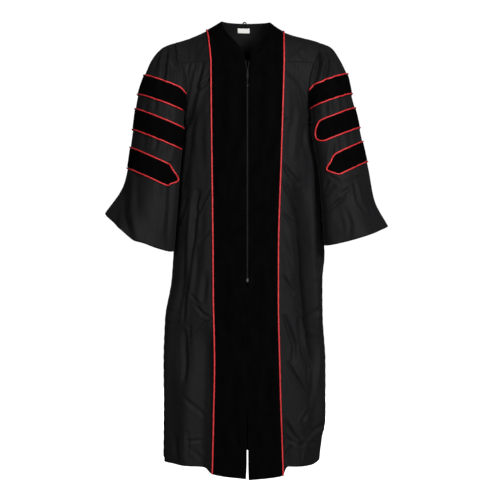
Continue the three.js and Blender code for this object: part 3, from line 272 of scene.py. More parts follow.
class Workroom:
    """Makes Blender meshes of points and hands finished pieces to the frame."""

    def grid_piece(self, name: str, grid: Grid) -> bpy.types.Object:
        """A mesh through a grid, with a UV map in metres along the cloth.

        Args:
            name: Name of the piece.
            grid: Its points.

        Returns:
            The new object.
        """
        points = grid.points
        if grid.closed:
            points = np.concatenate([points, points[:, :1]], axis=1)
        if grid.facing < 0:
            points = points[:, ::-1]
        rows, columns = points.shape[:2]
        mesh = bpy.data.meshes.new(name)
        with editing(mesh) as bm:
            bmesh.ops.create_grid(bm, x_segments=columns - 1, y_segments=rows - 1, size=1.0)
        flat = np.empty(len(mesh.vertices) * 3)
        mesh.vertices.foreach_get("co", flat)
        flat = flat.reshape(-1, 3)
        j = np.rint((flat[:, 0] + 1) / 2 * (columns - 1)).astype(int)
        i = np.rint((flat[:, 1] + 1) / 2 * (rows - 1)).astype(int)
        mesh.vertices.foreach_set("co", (points[i, j] * MM).ravel())
        self._lay_uv(mesh, points, i, j)
        if grid.closed:
            with editing(mesh) as bm:
                self._weld(bm)
        mesh.polygons.foreach_set("use_smooth", np.ones(len(mesh.polygons), bool))
        mesh.update()
        return self.place(mesh)

    @staticmethod
    def _lay_uv(mesh: bpy.types.Mesh, points: Array, i: Array, j: Array) -> None:
        """Writes the cloth's own lengths across and down, in metres, as its UV map.

        Args:
            mesh: The mesh of the grid.
            points: The grid's points, in millimetres.
            i: Row of each vertex.
            j: Column of each vertex.
        """
        across = np.linalg.norm(np.diff(points, axis=1), axis=2).mean(axis=0)
        down = np.linalg.norm(np.diff(points, axis=0), axis=2).mean(axis=1)
        u = np.concatenate([[0], np.cumsum(across)]) * MM
        v = np.concatenate([[0], np.cumsum(down)]) * MM
        corner = np.empty(len(mesh.loops), int)
        mesh.loops.foreach_get("vertex_index", corner)
        layer = mesh.uv_layers.new(name="UVMap")
        layer.data.foreach_set("uv", np.stack([u[j[corner]], v[i[corner]]], axis=1).ravel())

    @staticmethod
    def _weld(bm: bmesh.types.BMesh) -> None:
        """Joins edges that lie on each other, as where a tube closes."""
        edge = [v for v in bm.verts if v.is_boundary]
        bmesh.ops.remove_doubles(bm, verts=edge, dist=MERGE)

    def tube_piece(
        self, name: str, path: Array, normals: Array, radius: float, closed: bool, sides: int = 10
    ) -> bpy.types.Object:
        """A round cord along a path, capped where it is open.

        Args:
            name: Name of the piece.
            path: Points of the cord's middle, in millimetres.
            normals: Direction at each point that counts as up.
            radius: Radius of the cord, in millimetres.
            closed: Whether the path comes back to its start.
            sides: Number of sides of the cord.

        Returns:
            The new object.
        """
        if closed:
            tangent = unit(np.roll(path, -1, axis=0) - np.roll(path, 1, axis=0))
        else:
            tangent = unit(np.gradient(path, axis=0))
        up = unit(normals - tangent * np.sum(normals * tangent, axis=1, keepdims=True))
        aside = np.cross(tangent, up)
        turn = np.linspace(0, 2 * math.pi, sides, endpoint=False)[None, :, None]
        ring = path[:, None] + radius * (np.cos(turn) * up[:, None] + np.sin(turn) * aside[:, None])
        if closed:
            ring = np.concatenate([ring, ring[:1]], axis=0)
        piece = self.grid_piece(name, Grid(ring, closed=True))
        with editing(piece.data) as bm:
            self._weld(bm)
            bmesh.ops.holes_fill(bm, edges=[e for e in bm.edges if e.is_boundary], sides=0)
            bmesh.ops.recalc_face_normals(bm, faces=bm.faces)
        return piece

    @staticmethod
    def place(mesh: bpy.types.Mesh) -> bpy.types.Object:
        """Links a mesh to the scene.

        Args:
            mesh: The mesh.

        Returns:
            The new object, which has the mesh's name.
        """
        piece = bpy.data.objects.new(mesh.name, mesh)
        bpy.context.scene.collection.objects.link(piece)
        return piece

    @staticmethod
    def hand_over(piece: bpy.types.Object, finish: Finish, node: str, body: str = "gown") -> None:
        """Dresses a piece, parents it to its body's empty and hides the frame's node that it replaces.

        Args:
            piece: The finished piece.
            finish: What it is made of.
            node: Name of the frame's node that it replaces.
            body: Name of the body that it rides on.
        """
        piece.data.materials.clear()
        piece.data.materials.append(finish.material())
        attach(piece, body)
        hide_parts(node)
        log.info("%s: %d faces, %s", piece.name, len(piece.data.polygons), finish.slot)

    def sew(
        self, name: str, node: str, grid: Grid, thickness: float, finish: Finish
    ) -> None:
        """Makes a sheet of cloth with a wall, half on each side of its grid, and hands it over.

        Args:
            name: Name of the piece.
            node: Name of the frame's node that it replaces.
            grid: Its points.
            thickness: Thickness of the cloth, in millimetres.
            finish: What it is made of.
        """
        piece = self.grid_piece(name, grid)
        wall = piece.modifiers.new("wall", "SOLIDIFY")
        wall.thickness = thickness * MM
        wall.offset = 0.0
        wall.use_even_offset = False
        self.hand_over(piece, finish, node)


ROOM = Workroom()

# Finishes


class Wire:
    """A shader socket that takes part in arithmetic."""

    def __init__(self, graph: Graph, socket: bpy.types.NodeSocket) -> None:
        """Keeps a socket and the graph it belongs to."""
        self.graph = graph
        self.socket = socket

    def math(self, operation: str, *others: Wire | float) -> Wire:
        """The result of a Math node on this socket and others."""
        inputs = dict(enumerate([self, *others]))
        return self.graph.node("ShaderNodeMath", {"operation": operation}, inputs)

    def __add__(self, other: Wire | float) -> Wire:
        """Sum."""
        return self.math("ADD", other)

    def __sub__(self, other: Wire | float) -> Wire:
        """Difference."""
        return self.math("SUBTRACT", other)

    def __rsub__(self, other: float) -> Wire:
        """Difference from a number."""
        return self.graph.node("ShaderNodeMath", {"operation": "SUBTRACT"}, {0: other, 1: self})

    def __mul__(self, other: Wire | float) -> Wire:
        """Product."""
        return self.math("MULTIPLY", other)

    __radd__ = __add__
    __rmul__ = __mul__


class Graph:
    """The node tree of a material or of the surroundings."""

    def __init__(self, owner: bpy.types.Material | bpy.types.World) -> None:
        """Opens the owner's node tree, with its one shader.

        Args:
            owner: A new material or world.
        """
        owner.use_nodes = True
        self.tree = owner.node_tree
        kind = "Principled BSDF" if isinstance(owner, bpy.types.Material) else "Background"
        self.shader = self.tree.nodes[kind]

    def node(
        self, kind: str, settings: dict[str, Any] | None = None, inputs: dict[int | str, Any] | None = None,
        output: int | str = 0,
    ) -> Wire:
        """Adds any node.

        Args:
            kind: Blender's type of the node.
            settings: Its settings, which are set first.
            inputs: Values or wires for its sockets, by name or number.
            output: Name or number of the socket that is returned.

        Returns:
            The node's output.
        """
        made = self.tree.nodes.new(kind)
        for key, value in (settings or {}).items():
            setattr(made, key, value)
        for key, value in (inputs or {}).items():
            self.feed(made.inputs[key], value)
        return Wire(self, made.outputs[output])

    def feed(self, socket: bpy.types.NodeSocket, value: Any) -> None:
        """Links a wire to a socket, or sets the socket's own value.

        Args:
            socket: An input.
            value: A wire, or a value of the socket's kind.
        """
        if isinstance(value, Wire):
            self.tree.links.new(value.socket, socket)
        else:
            socket.default_value = value

    def set(self, **sockets: Any) -> None:
        """Feeds the shader's sockets, named with _ for spaces."""
        for key, value in sockets.items():
            self.feed(self.shader.inputs[key.replace("_", " ")], value)

    def uv(self) -> tuple[Wire, Wire, Wire]:
        """The piece's own lengths.

        Returns:
            The lengths across and down, and both as one vector.
        """
        both = self.node("ShaderNodeTexCoord", output="UV")
        across = self.node("ShaderNodeSeparateXYZ", inputs={0: both})
        return across, Wire(self, across.socket.node.outputs[1]), both

    def noise(self, vector: Wire, across: float, down: float, detail: float = 2.0) -> Wire:
        """Noise with a number of cells to a metre across and down."""
        scaled = self.node("ShaderNodeMapping", inputs={"Vector": vector, "Scale": (across, down, across)})
        return self.node("ShaderNodeTexNoise", inputs={"Vector": scaled, "Scale": 1.0, "Detail": detail})

    def waves(self, length: Wire, pitch: float) -> Wire:
        """Sine waves along a length."""
        return (length * (2 * math.pi / pitch)).math("SINE")

    def spread(self, value: Wire, low: float, high: float) -> Wire:
        """A value that is 0 at low and 1 at high."""
        return self.node("ShaderNodeMapRange", inputs={0: value, 1: low, 2: high, 3: 0.0, 4: 1.0})

    def blend(self, share: Wire, first: tuple, second: tuple) -> Wire:
        """A colour between two, by a share."""
        inputs = {0: share, 6: (*first, 1.0), 7: (*second, 1.0)}
        return self.node("ShaderNodeMix", {"data_type": "RGBA"}, inputs, output=2)

    def bump(self, height: Wire, strength: float, distance: float) -> Wire:
        """A normal from a height."""
        inputs = {"Height": height, "Strength": strength, "Distance": distance}
        return self.node("ShaderNodeBump", inputs=inputs)


@dataclass(frozen=True)
class Finish:
    """What a piece is made of: a slot of the record and a Blender material made once.

    Its name differs from the materials that come with the frame, because it is found by name.
    """

    name: str
    slot: str

    def material(self) -> bpy.types.Material:
        """Finds the finish's material, or makes it on first use.

        Returns:
            The material.
        """
        found = bpy.data.materials.get(self.name)
        if found is None:
            found = bpy.data.materials.new(self.name)
            self.dress(Graph(found))
        return found

    def dress(self, graph: Graph) -> None:
        """Feeds the material's shader."""


@dataclass(frozen=True)
class GownCloth(Finish):
    """Black polyester of a plain weave with a soft lustre and faint slubs."""

    dark: tuple = (0.0066, 0.0066, 0.0072)
    light: tuple = (0.0125, 0.0125, 0.0136)
    thread: float = 0.0009
    warp_cells: Pair = (1400, 34)
    weft_cells: Pair = (30, 1300)
    cloud_cells: Pair = (16, 9)
    streak_cells: Pair = (240, 26)
    tone_range: Pair = (0.32, 0.68)
    roughness: float = 0.62
    uneven_gloss: float = 0.12
    bump: Pair = (0.2, 0.0003)
    specular: float = 0.085
    sheen: float = 0.03
    sheen_roughness: float = 0.45

    def dress(self, graph: Graph) -> None:
        """Weave, slubs and a broad unevenness of tone.

        Args:
            graph: The material's graph.
        """
        u, v, both = graph.uv()
        weave = graph.waves(u, self.thread) * graph.waves(v, self.thread)
        warp = graph.noise(both, *self.warp_cells)
        weft = graph.noise(both, *self.weft_cells)
        cloudy = graph.noise(both, *self.cloud_cells)
        streaks = graph.noise(both, *self.streak_cells)
        tone = warp * 0.3 + weft * 0.25 + cloudy * 0.2 + streaks * 0.25
        height = weave * 0.5 + warp * 0.6 + weft * 0.5
        graph.set(
            Base_Color=graph.blend(graph.spread(tone, *self.tone_range), self.dark, self.light),
            Roughness=self.roughness + (cloudy - 0.5) * self.uneven_gloss,
            Normal=graph.bump(height, *self.bump),
            Specular_IOR_Level=self.specular,
            Sheen_Weight=self.sheen,
            Sheen_Roughness=self.sheen_roughness,
        )


@dataclass(frozen=True)
class Velvet(Finish):
    """Black cotton velvet: a deep nap that gives back almost no light."""

    dark: tuple = (0.0008, 0.0008, 0.0009)
    light: tuple = (0.0026, 0.0026, 0.0028)
    pile_cells: Pair = (1100, 900)
    brush_cells: Pair = (42, 14)
    detail: float = 3.0
    tone_range: Pair = (0.35, 0.68)
    roughness: float = 0.95
    bump: Pair = (0.45, 0.0008)
    specular: float = 0.02
    sheen: float = 0.006
    sheen_roughness: float = 0.3

    def dress(self, graph: Graph) -> None:
        """Pile, brushed patches and a fine lift along the nap.

        Args:
            graph: The material's graph.
        """
        _, _, both = graph.uv()
        pile = graph.noise(both, *self.pile_cells, self.detail)
        brushed = graph.noise(both, *self.brush_cells, self.detail)
        tone = pile * 0.45 + brushed * 0.55
        graph.set(
            Base_Color=graph.blend(graph.spread(tone, *self.tone_range), self.dark, self.light),
            Roughness=self.roughness,
            Normal=graph.bump(pile + brushed * 0.6, *self.bump),
            Specular_IOR_Level=self.specular,
            Sheen_Weight=self.sheen,
            Sheen_Roughness=self.sheen_roughness,
        )


@dataclass(frozen=True)
class PipingSatin(Finish):
    """Red satin cut on the bias round a cord."""

    dark: tuple = (0.52, 0.018, 0.022)
    light: tuple = (0.88, 0.05, 0.055)
    pitch: float = 0.0011
    slant: float = 0.8
    cells: Pair = (130, 55)
    tone_range: Pair = (0.3, 0.7)
    roughness: float = 0.45
    uneven_gloss: float = 0.1
    bump: Pair = (0.25, 0.0004)
    specular: float = 0.4

    def dress(self, graph: Graph) -> None:
        """Slanting satin threads with a soft unevenness along the cord.

        Args:
            graph: The material's graph.
        """
        u, v, both = graph.uv()
        threads = graph.waves(u * self.slant + v, self.pitch)
        along = graph.noise(both, *self.cells)
        graph.set(
            Base_Color=graph.blend(graph.spread(along, *self.tone_range), self.dark, self.light),
            Roughness=self.roughness + (along - 0.5) * self.uneven_gloss,
            Normal=graph.bump(threads * 0.5 + along * 0.8, *self.bump),
            Specular_IOR_Level=self.specular,
        )


@dataclass(frozen=True)
class ZipTape(Finish):
    """Black woven tape with a herringbone of fine ribs."""

    dark: tuple = (0.006, 0.006, 0.0065)
    light: tuple = (0.014, 0.014, 0.015)
    middle: float = 0.005
    pitch: float = 0.0008
    cells: Pair = (300, 300)
    roughness: float = 0.8
    bump: Pair = (0.35, 0.0003)
    specular: float = 0.25

    def dress(self, graph: Graph) -> None:
        """Ribs that turn at the middle of the tape.

        Args:
            graph: The material's graph.
        """
        u, v, both = graph.uv()
        folded = (u - self.middle).math("ABSOLUTE")
        graph.set(
            Base_Color=graph.blend(graph.noise(both, *self.cells), self.dark, self.light),
            Roughness=self.roughness,
            Normal=graph.bump(graph.waves(folded + v, self.pitch), *self.bump),
            Specular_IOR_Level=self.specular,
        )


@dataclass(frozen=True)
class SmoothTrim(Finish):
    """A smooth hard finish, such as metal or nylon, with faint scuffs."""

    base: tuple = (0.05, 0.05, 0.052)
    scuffed: tuple = (0.09, 0.09, 0.094)
    roughness: float = 0.35
    metallic: float = 0.0
    scuff_cells: Pair = (1500, 1500)
    scuff_detail: float = 4.0
    broad_cells: Pair = (260, 260)
    uneven_gloss: float = 0.2
    bump: Pair = (0.08, 0.0002)

    def dress(self, graph: Graph) -> None:
        """Scuffs in colour and gloss, on the piece's own place.

        Args:
            graph: The material's graph.
        """
        place = graph.node("ShaderNodeTexCoord", output="Object")
        scuffs = graph.noise(place, *self.scuff_cells, self.scuff_detail)
        broad = graph.noise(place, *self.broad_cells)
        graph.set(
            Base_Color=graph.blend(scuffs, self.base, self.scuffed),
            Roughness=self.roughness + (broad - 0.5) * self.uneven_gloss,
            Normal=graph.bump(scuffs, *self.bump),
            Metallic=self.metallic,
        )


@dataclass(frozen=True)
class LabelSatin(Finish):
    """White satin ribbon with a fine cross rib."""

    yellowed: tuple = (0.94, 0.92, 0.87)
    white: tuple = (0.98, 0.97, 0.94)
    pitch: float = 0.0007
    cells: Pair = (90, 90)
    roughness: float = 0.5
    bump: Pair = (0.2, 0.0002)

    def dress(self, graph: Graph) -> None:
        """Ribs across the ribbon and a little yellowing.

        Args:
            graph: The material's graph.
        """
        _, v, both = graph.uv()
        graph.set(
            Base_Color=graph.blend(graph.noise(both, *self.cells), self.yellowed, self.white),
            Roughness=self.roughness,
            Normal=graph.bump(graph.waves(v, self.pitch), *self.bump),
        )


CLOTH = GownCloth("gown_cloth", "cloth")
VELVET = Velvet("black_velvet", "velvet")
PIPING = PipingSatin("red_piping", "piping")
TAPE = ZipTape("zip_tape_weave", "zip_tape")
COIL = SmoothTrim("zip_coil", "zip_teeth", (0.005, 0.005, 0.0055), (0.013, 0.013, 0.014), 0.6)
ZIP_METAL = SmoothTrim("zip_enamel", "zip_metal", (0.02, 0.02, 0.021), (0.045, 0.045, 0.047), 0.42, 1.0)
STOP_METAL = SmoothTrim("stop_satin", "stop_metal", (0.06, 0.06, 0.062), (0.09, 0.09, 0.092), 0.5, 1.0)
LABEL = LabelSatin("label_satin", "label")

# Sizes of the gown

CLOTH_WALL = 1.2
VELVET_WALL = 1.8
SEAM = 0.4
PIPING_DIAMETER = 4.14
FACING_LIFT = 0.15
ARMHOLE_EASE = 1.2
SIDE_SEAM = SEAM / 8
EDGE_ROLL = 0.5
ROLL_WIDTH = 3.0
CREASE_END = 0.35
CREASE_FULLNESS = 0.7
LIP_HEIGHT = 0.32
LIP_PLACE = 1.9
LIP_WIDTH = 0.8


class BodyRow(NamedTuple):
    """A level section of the body: depths at the centre, and half-widths on each side."""

    down: float
    front: float
    back: float
    right: float
    left: float


class EdgeRow(NamedTuple):
    """Distance of an edge from the centre plane on each side, at a height."""

    down: float
    right: float
    left: float


class HemRow(NamedTuple):
    """How far down the hem is on each side, at a reach round the body."""

    reach: float
    right: float
    left: float


class FoldRow(NamedTuple):
    """A soft fold of the body: a ridge has a depth above 0 and a trough below 0."""

    side: Side
    reach: float
    drift: float
    start: float
    end: float
    width: float
    depth: float


class DepthRow(NamedTuple):
    """Depth of the flutes at a height."""

    down: float
    depth: float


class SleeveRow(NamedTuple):
    """A section of a sleeve: outer and inner points, and depths to the front and back."""

    at: float
    out_x: float
    out_down: float
    out_y: float
    in_x: float
    in_down: float
    in_y: float
    front: float
    back: float


class SleeveFoldRow(NamedTuple):
    """A soft fold of a sleeve at an angle from its outer edge, towards the front."""

    side: Side
    angle: float
    start: float
    width: float
    depth: float


class BarRow(NamedTuple):
    """A velvet bar: its middle on the sleeve's outer edge, its slope, its points' angles and its lift.

    The tip is the front end's, and the back end has a point in the middle. A bar that runs into the armhole
    seam or round the sleeve's inner edge leaves its piping open there.
    """

    side: Side
    number: int
    x: float
    down: float
    slope: float
    front: float
    tip: Tip
    back: float
    lift: float

    def above(self, points: Array) -> Array:
        """How far points are above the bar's middle line."""
        return points[..., 2] + self.down + self.slope * (self.x - np.abs(points[..., 0]))

    def straight_down(self, across: float) -> float:
        """A distance across the bar, measured straight down."""
        return across * math.hypot(1, self.slope)


class Crease(NamedTuple):
    """A crease or ridge along a line seen from the front or back.

    Points are distances from the centre plane and down. A trough has a depth below 0.
    """

    face: Face
    points: tuple[Pair, ...]
    depth: float
    width: float


def creases(*rows: tuple[Face, tuple[Pair, ...], float, float]) -> tuple[Crease, ...]:
    """Creases from rows of their values."""
    return tuple(Crease(*row) for row in rows)


R, L = Side.RIGHT, Side.LEFT
F, B = Face.FRONT, Face.BACK

BODY = (
    BodyRow(98, 93, 100, 184, 184),
    BodyRow(163, 108, 110, 184, 184),
    BodyRow(262, 124, 121, 184.4, 184.4),
    BodyRow(300, 126, 123, 190, 190.6),
    BodyRow(340, 128, 125, 192.6, 195.5),
    BodyRow(400, 131, 129, 198.5, 206.5),
    BodyRow(530, 134, 135, 208.4, 219),
    BodyRow(650, 137, 141, 216, 224),
    BodyRow(724, 139, 144, 221, 217),
    BodyRow(840, 142, 149, 241, 219),
    BodyRow(960, 145, 153, 246, 227),
    BodyRow(1100, 148, 157, 245, 227),
    BodyRow(1134, 148.8, 158, 245.3, 225),
    BodyRow(1182, 149.8, 159, 245.7, 215),
    BodyRow(1285, 152, 162, 247, 203),
)
CENTRE_EDGE = (
    EdgeRow(100, 6.5, 6.5),
    EdgeRow(126, 3, 3),
    EdgeRow(730, 3, 3),
    EdgeRow(742, 0.2, 0.2),
    EdgeRow(1096, 0.2, 0.2),
    EdgeRow(1112, 1.7, 1.6),
    EdgeRow(1235, 2.1, 1.8),
    EdgeRow(1285, 4.4, 3.2),
)
VELVET_EDGE = (
    EdgeRow(96, 104, 104),
    EdgeRow(350, 100.5, 95.5),
    EdgeRow(640, 97, 87),
    EdgeRow(780, 96, 86.5),
    EdgeRow(950, 92, 90),
    EdgeRow(1118, 95, 94.5),
    EdgeRow(1285, 99, 100),
)
HEM = (
    HemRow(-1, 1281, 1284),
    HemRow(0, 1269, 1274),
    HemRow(0.1, 1253, 1250),
    HemRow(0.5, 1247, 1252),
    HemRow(0.85, 1243, 1230),
    HemRow(1, 1236, 1206),
    HemRow(1.4, 1238, 1232),
    HemRow(2, 1244, 1244),
)
FOLDS = (
    FoldRow(R, 0.24, 0.03, 430, 760, 0.08, -8),
    FoldRow(R, 0.34, 0.02, 330, 800, 0.08, 6),
    FoldRow(R, 0.45, 0.02, 560, 860, 0.08, -7),
    FoldRow(R, 0.36, 0.02, 830, 1040, 0.09, -7),
    FoldRow(R, 0.1, 0.06, 820, 1400, 0.1, -17),
    FoldRow(R, 0.3, 0.02, 960, 1400, 0.14, 8),
    FoldRow(R, 0.68, 0.02, 720, 1400, 0.11, 8),
    FoldRow(R, 0.86, 0.0, 800, 1400, 0.09, -9),
    FoldRow(L, 0.24, 0.34, 420, 1000, 0.098, -46),
    FoldRow(L, 0.1, 0.08, 500, 900, 0.09, 6),
    FoldRow(L, 0.64, 0.02, 620, 940, 0.09, 8),
    FoldRow(L, 0.8, 0.0, 660, 1000, 0.07, -6),
    FoldRow(L, 0.52, -0.04, 860, 1190, 0.1, -11),
    FoldRow(L, 0.24, 0.03, 900, 1400, 0.12, 8),
    FoldRow(L, 0.05, 0.02, 1080, 1400, 0.07, -9),
    FoldRow(L, 0.72, 0.0, 1000, 1400, 0.1, 8),
)
FLUTE_DEPTH = (
    DepthRow(140, 2),
    DepthRow(230, 4.5),
    DepthRow(450, 6.5),
    DepthRow(800, 9),
    DepthRow(1285, 12),
)
SLEEVES = {
    R: (
        SleeveRow(0, 210, 32, 0, 186, 262, 3, 62, 68),
        SleeveRow(0.1, 245, 46, 0, 187, 269, -12, 70, 77),
        SleeveRow(0.2, 275, 77, -1, 184.5, 277, -30, 75, 86),
        SleeveRow(0.3, 300, 130, -2, 183, 287, -44, 78, 94),
        SleeveRow(0.42, 320, 195, -4, 183.5, 302, -54, 79, 102),
        SleeveRow(0.55, 331, 270, -6, 187.5, 338, -60, 79, 110),
        SleeveRow(0.68, 339, 335, -9, 193, 396, -65, 80, 118),
        SleeveRow(0.8, 349, 405, -13, 198, 470, -70, 84, 127),
        SleeveRow(0.88, 361, 450, -16, 203, 535, -74, 88, 135),
        SleeveRow(1, 413, 528, -22, 211, 636, -78, 98, 150),
    ),
    L: (
        SleeveRow(0, 210, 32, 0, 186, 262, 3, 62, 68),
        SleeveRow(0.1, 243, 47, 0, 187, 269, -12, 70, 77),
        SleeveRow(0.2, 268, 82, -1, 184.5, 277, -30, 75, 86),
        SleeveRow(0.3, 289, 126, -2, 183.2, 288, -44, 78, 94),
        SleeveRow(0.42, 304, 195, -4, 184, 304, -54, 79, 102),
        SleeveRow(0.55, 319, 252, -6, 192, 340, -60, 79, 110),
        SleeveRow(0.68, 335, 330, -9, 202, 400, -65, 80, 118),
        SleeveRow(0.8, 352, 408, -13, 209, 470, -70, 84, 127),
        SleeveRow(0.9, 368, 490, -17, 215, 545, -74, 88, 136),
        SleeveRow(1, 407, 566, -22, 221, 622, -78, 98, 150),
    ),
}
CUFF_DROP = {R: 24.0, L: 9.0}
SLEEVE_FOLDS = (
    SleeveFoldRow(R, 38, 0.72, 17, -15),
    SleeveFoldRow(R, 82, 0.7, 24, 9),
    SleeveFoldRow(R, 132, 0.75, 20, -7),
    SleeveFoldRow(R, -50, 0.7, 24, 9),
    SleeveFoldRow(R, -100, 0.7, 22, -13),
    SleeveFoldRow(R, -140, 0.75, 20, 6),
    SleeveFoldRow(L, 42, 0.78, 16, -9),
    SleeveFoldRow(L, 78, 0.72, 22, 8),
    SleeveFoldRow(L, 118, 0.74, 20, -9),
    SleeveFoldRow(L, -46, 0.7, 22, 9),
    SleeveFoldRow(L, -92, 0.72, 22, -13),
    SleeveFoldRow(L, -136, 0.75, 20, 7),
)
BARS = (
    BarRow(R, 1, 309, 156, 0.4, 137, Tip.SEAM, 108, 1.35),
    BarRow(R, 2, 328, 256, 0.44, 172, Tip.EDGE, 146, 0.3),
    BarRow(R, 3, 341, 369, 0.47, 159, Tip.MID, 142, 0.3),
    BarRow(L, 1, 298, 152, 0.4, 137, Tip.SEAM, 108, 1.35),
    BarRow(L, 2, 316, 253, 0.43, 149, Tip.BLUNT, 144, 0.3),
    BarRow(L, 3, 338, 351, 0.5, 134, Tip.MID, 140, 0.3),
)

# Creases of the cloth, each on its own side of the gown
BODY_CREASES = {
    R: creases(
        (
            F, ((-131, 96), (-136, 128), (-143, 156), (-148, 185), (-159, 228), (-170, 269), (-182, 292)),
            -9.2, 6.5,
        ),
        (F, ((-126, 120), (-131, 170), (-142, 226)), 3, 8),
        (F, ((-143, 96), (-147, 122)), -4.1, 3.8),
        (F, ((-152, 96), (-154, 118)), -4.1, 3.8),
        (F, ((-168, 98), (-174, 126)), -4.1, 4),
        (F, ((-106, 145), (-124, 163), (-141, 182)), -6.2, 4.5),
        (F, ((-150, 240), (-160, 300), (-163, 360)), -3.4, 7),
        (F, ((-122, 250), (-130, 320), (-128, 400)), -2.8, 8),
        (F, ((-177, 415), (-184, 462)), -3.9, 5),
        (F, ((-103, 462), (-126, 497), (-135, 517), (-145, 536)), -6.4, 4.5),
        (F, ((-171, 492), (-188, 537), (-198, 564)), -5.8, 5),
        (F, ((-140, 470), (-149, 508), (-155, 582), (-163, 639), (-166, 690), (-172, 747)), -8, 6),
        (F, ((-172, 740), (-180, 792), (-183, 842)), -4.6, 5),
        (F, ((-138, 520), (-141, 600), (-146, 660)), 3.4, 7),
        (F, ((-103, 580), (-138, 612)), -4.6, 5),
        (F, ((-118, 706), (-126, 782)), -5.3, 8),
        (F, ((-161, 764), (-134, 793)), -3.8, 4.2),
        (F, ((-150, 790), (-126, 818), (-99, 830)), -4.9, 4.5),
        (F, ((-127, 850), (-97, 825)), -3.5, 4.2),
        (F, ((-110, 832), (-136, 863), (-159, 890)), -4.9, 4.5),
        (F, ((-238, 849), (-193, 845)), -1.8, 5),
        (F, ((-232, 806), (-196, 818)), -1.5, 5),
        (F, ((-164, 852), (-167, 902)), -3.5, 5),
        (F, ((-178, 872), (-181, 914), (-178, 956), (-181, 1010)), -6.2, 6),
        (F, ((-176, 1056), (-130, 1105)), -3.4, 5.5),
        (F, ((-167, 1152), (-167, 1230)), -3.7, 4.5),
        (F, ((-167, 1179), (-134, 1175)), -3, 4.5),
        (F, ((-160, 1200), (-140, 1226)), -2.7, 5),
        (F, ((-205, 1170), (-196, 1232)), -2.9, 7),
        (B, ((-40, 420), (-62, 520), (-70, 640)), -4.4, 9),
        (B, ((-150, 360), (-120, 430)), -4.0, 7),
        (B, ((-120, 780), (-60, 830)), -4.4, 6),
        (B, ((-90, 860), (-140, 900)), -3.8, 6),
        (B, ((-30, 960), (-50, 1120)), -3.6, 9),
    ),
    L: creases(
        (F, ((110, 120), (150, 150), (172, 200)), -3.5, 9),
        (F, ((100, 262), (114, 268)), -4.1, 5),
        (F, ((146, 240), (138, 296), (134, 364)), 4.3, 9),
        (F, ((168, 280), (160, 340)), -4.9, 7),
        (F, ((98, 390), (120, 420), (146, 446)), -6.8, 7),
        (F, ((98, 444), (123, 480), (143, 520), (149, 582), (163, 650), (169, 735)), -10.1, 7),
        (F, ((169, 735), (172, 795), (166, 850)), -5.3, 7),
        (F, ((100, 532), (131, 567)), -7, 5),
        (F, ((98, 600), (112, 640), (124, 690)), -4.3, 7),
        (F, ((99, 710), (127, 760)), -6.2, 5),
        (F, ((182, 420), (186, 560), (190, 720)), 4.1, 6),
        (F, ((196, 440), (203, 600), (206, 760)), -4.9, 5),
        (F, ((145, 812), (163, 838), (182, 868)), -5, 4.2),
        (F, ((203, 800), (186, 838), (170, 862)), -5, 4.2),
        (F, ((160, 800), (166, 830), (164, 868)), -3.6, 4.2),
        (F, ((184, 868), (200, 894)), -3.9, 4.5),
        (F, ((104, 826), (133, 905), (129, 950)), -7.6, 6),
        (F, ((147, 834), (155, 914), (173, 975), (176, 1026), (177, 1085)), -9.5, 7),
        (F, ((206, 860), (200, 960), (188, 1040), (180, 1085)), -5.9, 7),
        (F, ((113, 955), (138, 1002), (163, 1050)), -8.1, 4.4),
        (F, ((175, 1088), (154, 1120), (168, 1175)), -5.7, 5),
        (F, ((104, 1116), (133, 1166), (149, 1187)), -6.3, 5),
        (F, ((116, 1170), (152, 1195), (149, 1230)), -4.8, 4.8),
        (F, ((150, 1190), (188, 1157), (214, 1137)), -6.3, 5.5),
        (F, ((124, 1192), (108, 1230)), -4.8, 4.8),
        (F, ((172, 1186), (196, 1190)), -4.2, 5),
        (F, ((168, 1200), (178, 1228)), -3.8, 5),
        (B, ((60, 380), (72, 500), (64, 610)), -4.4, 9),
        (B, ((150, 340), (118, 400)), -4.0, 7),
        (B, ((110, 740), (70, 800)), -4.4, 6),
        (B, ((80, 840), (120, 880)), -3.6, 6),
        (B, ((60, 1000), (48, 1150)), -3.6, 9),
    ),
}
YOKE_CREASES = {
    R: creases((F, ((-150, 30), (-152, 96)), -1.4, 7), (F, ((-128, 30), (-140, 70)), -1.6, 6)),
    L: creases((F, ((157, 40), (140, 62), (118, 84)), -3.0, 5), (F, ((150, 66), (168, 92)), -1.8, 6)),
}
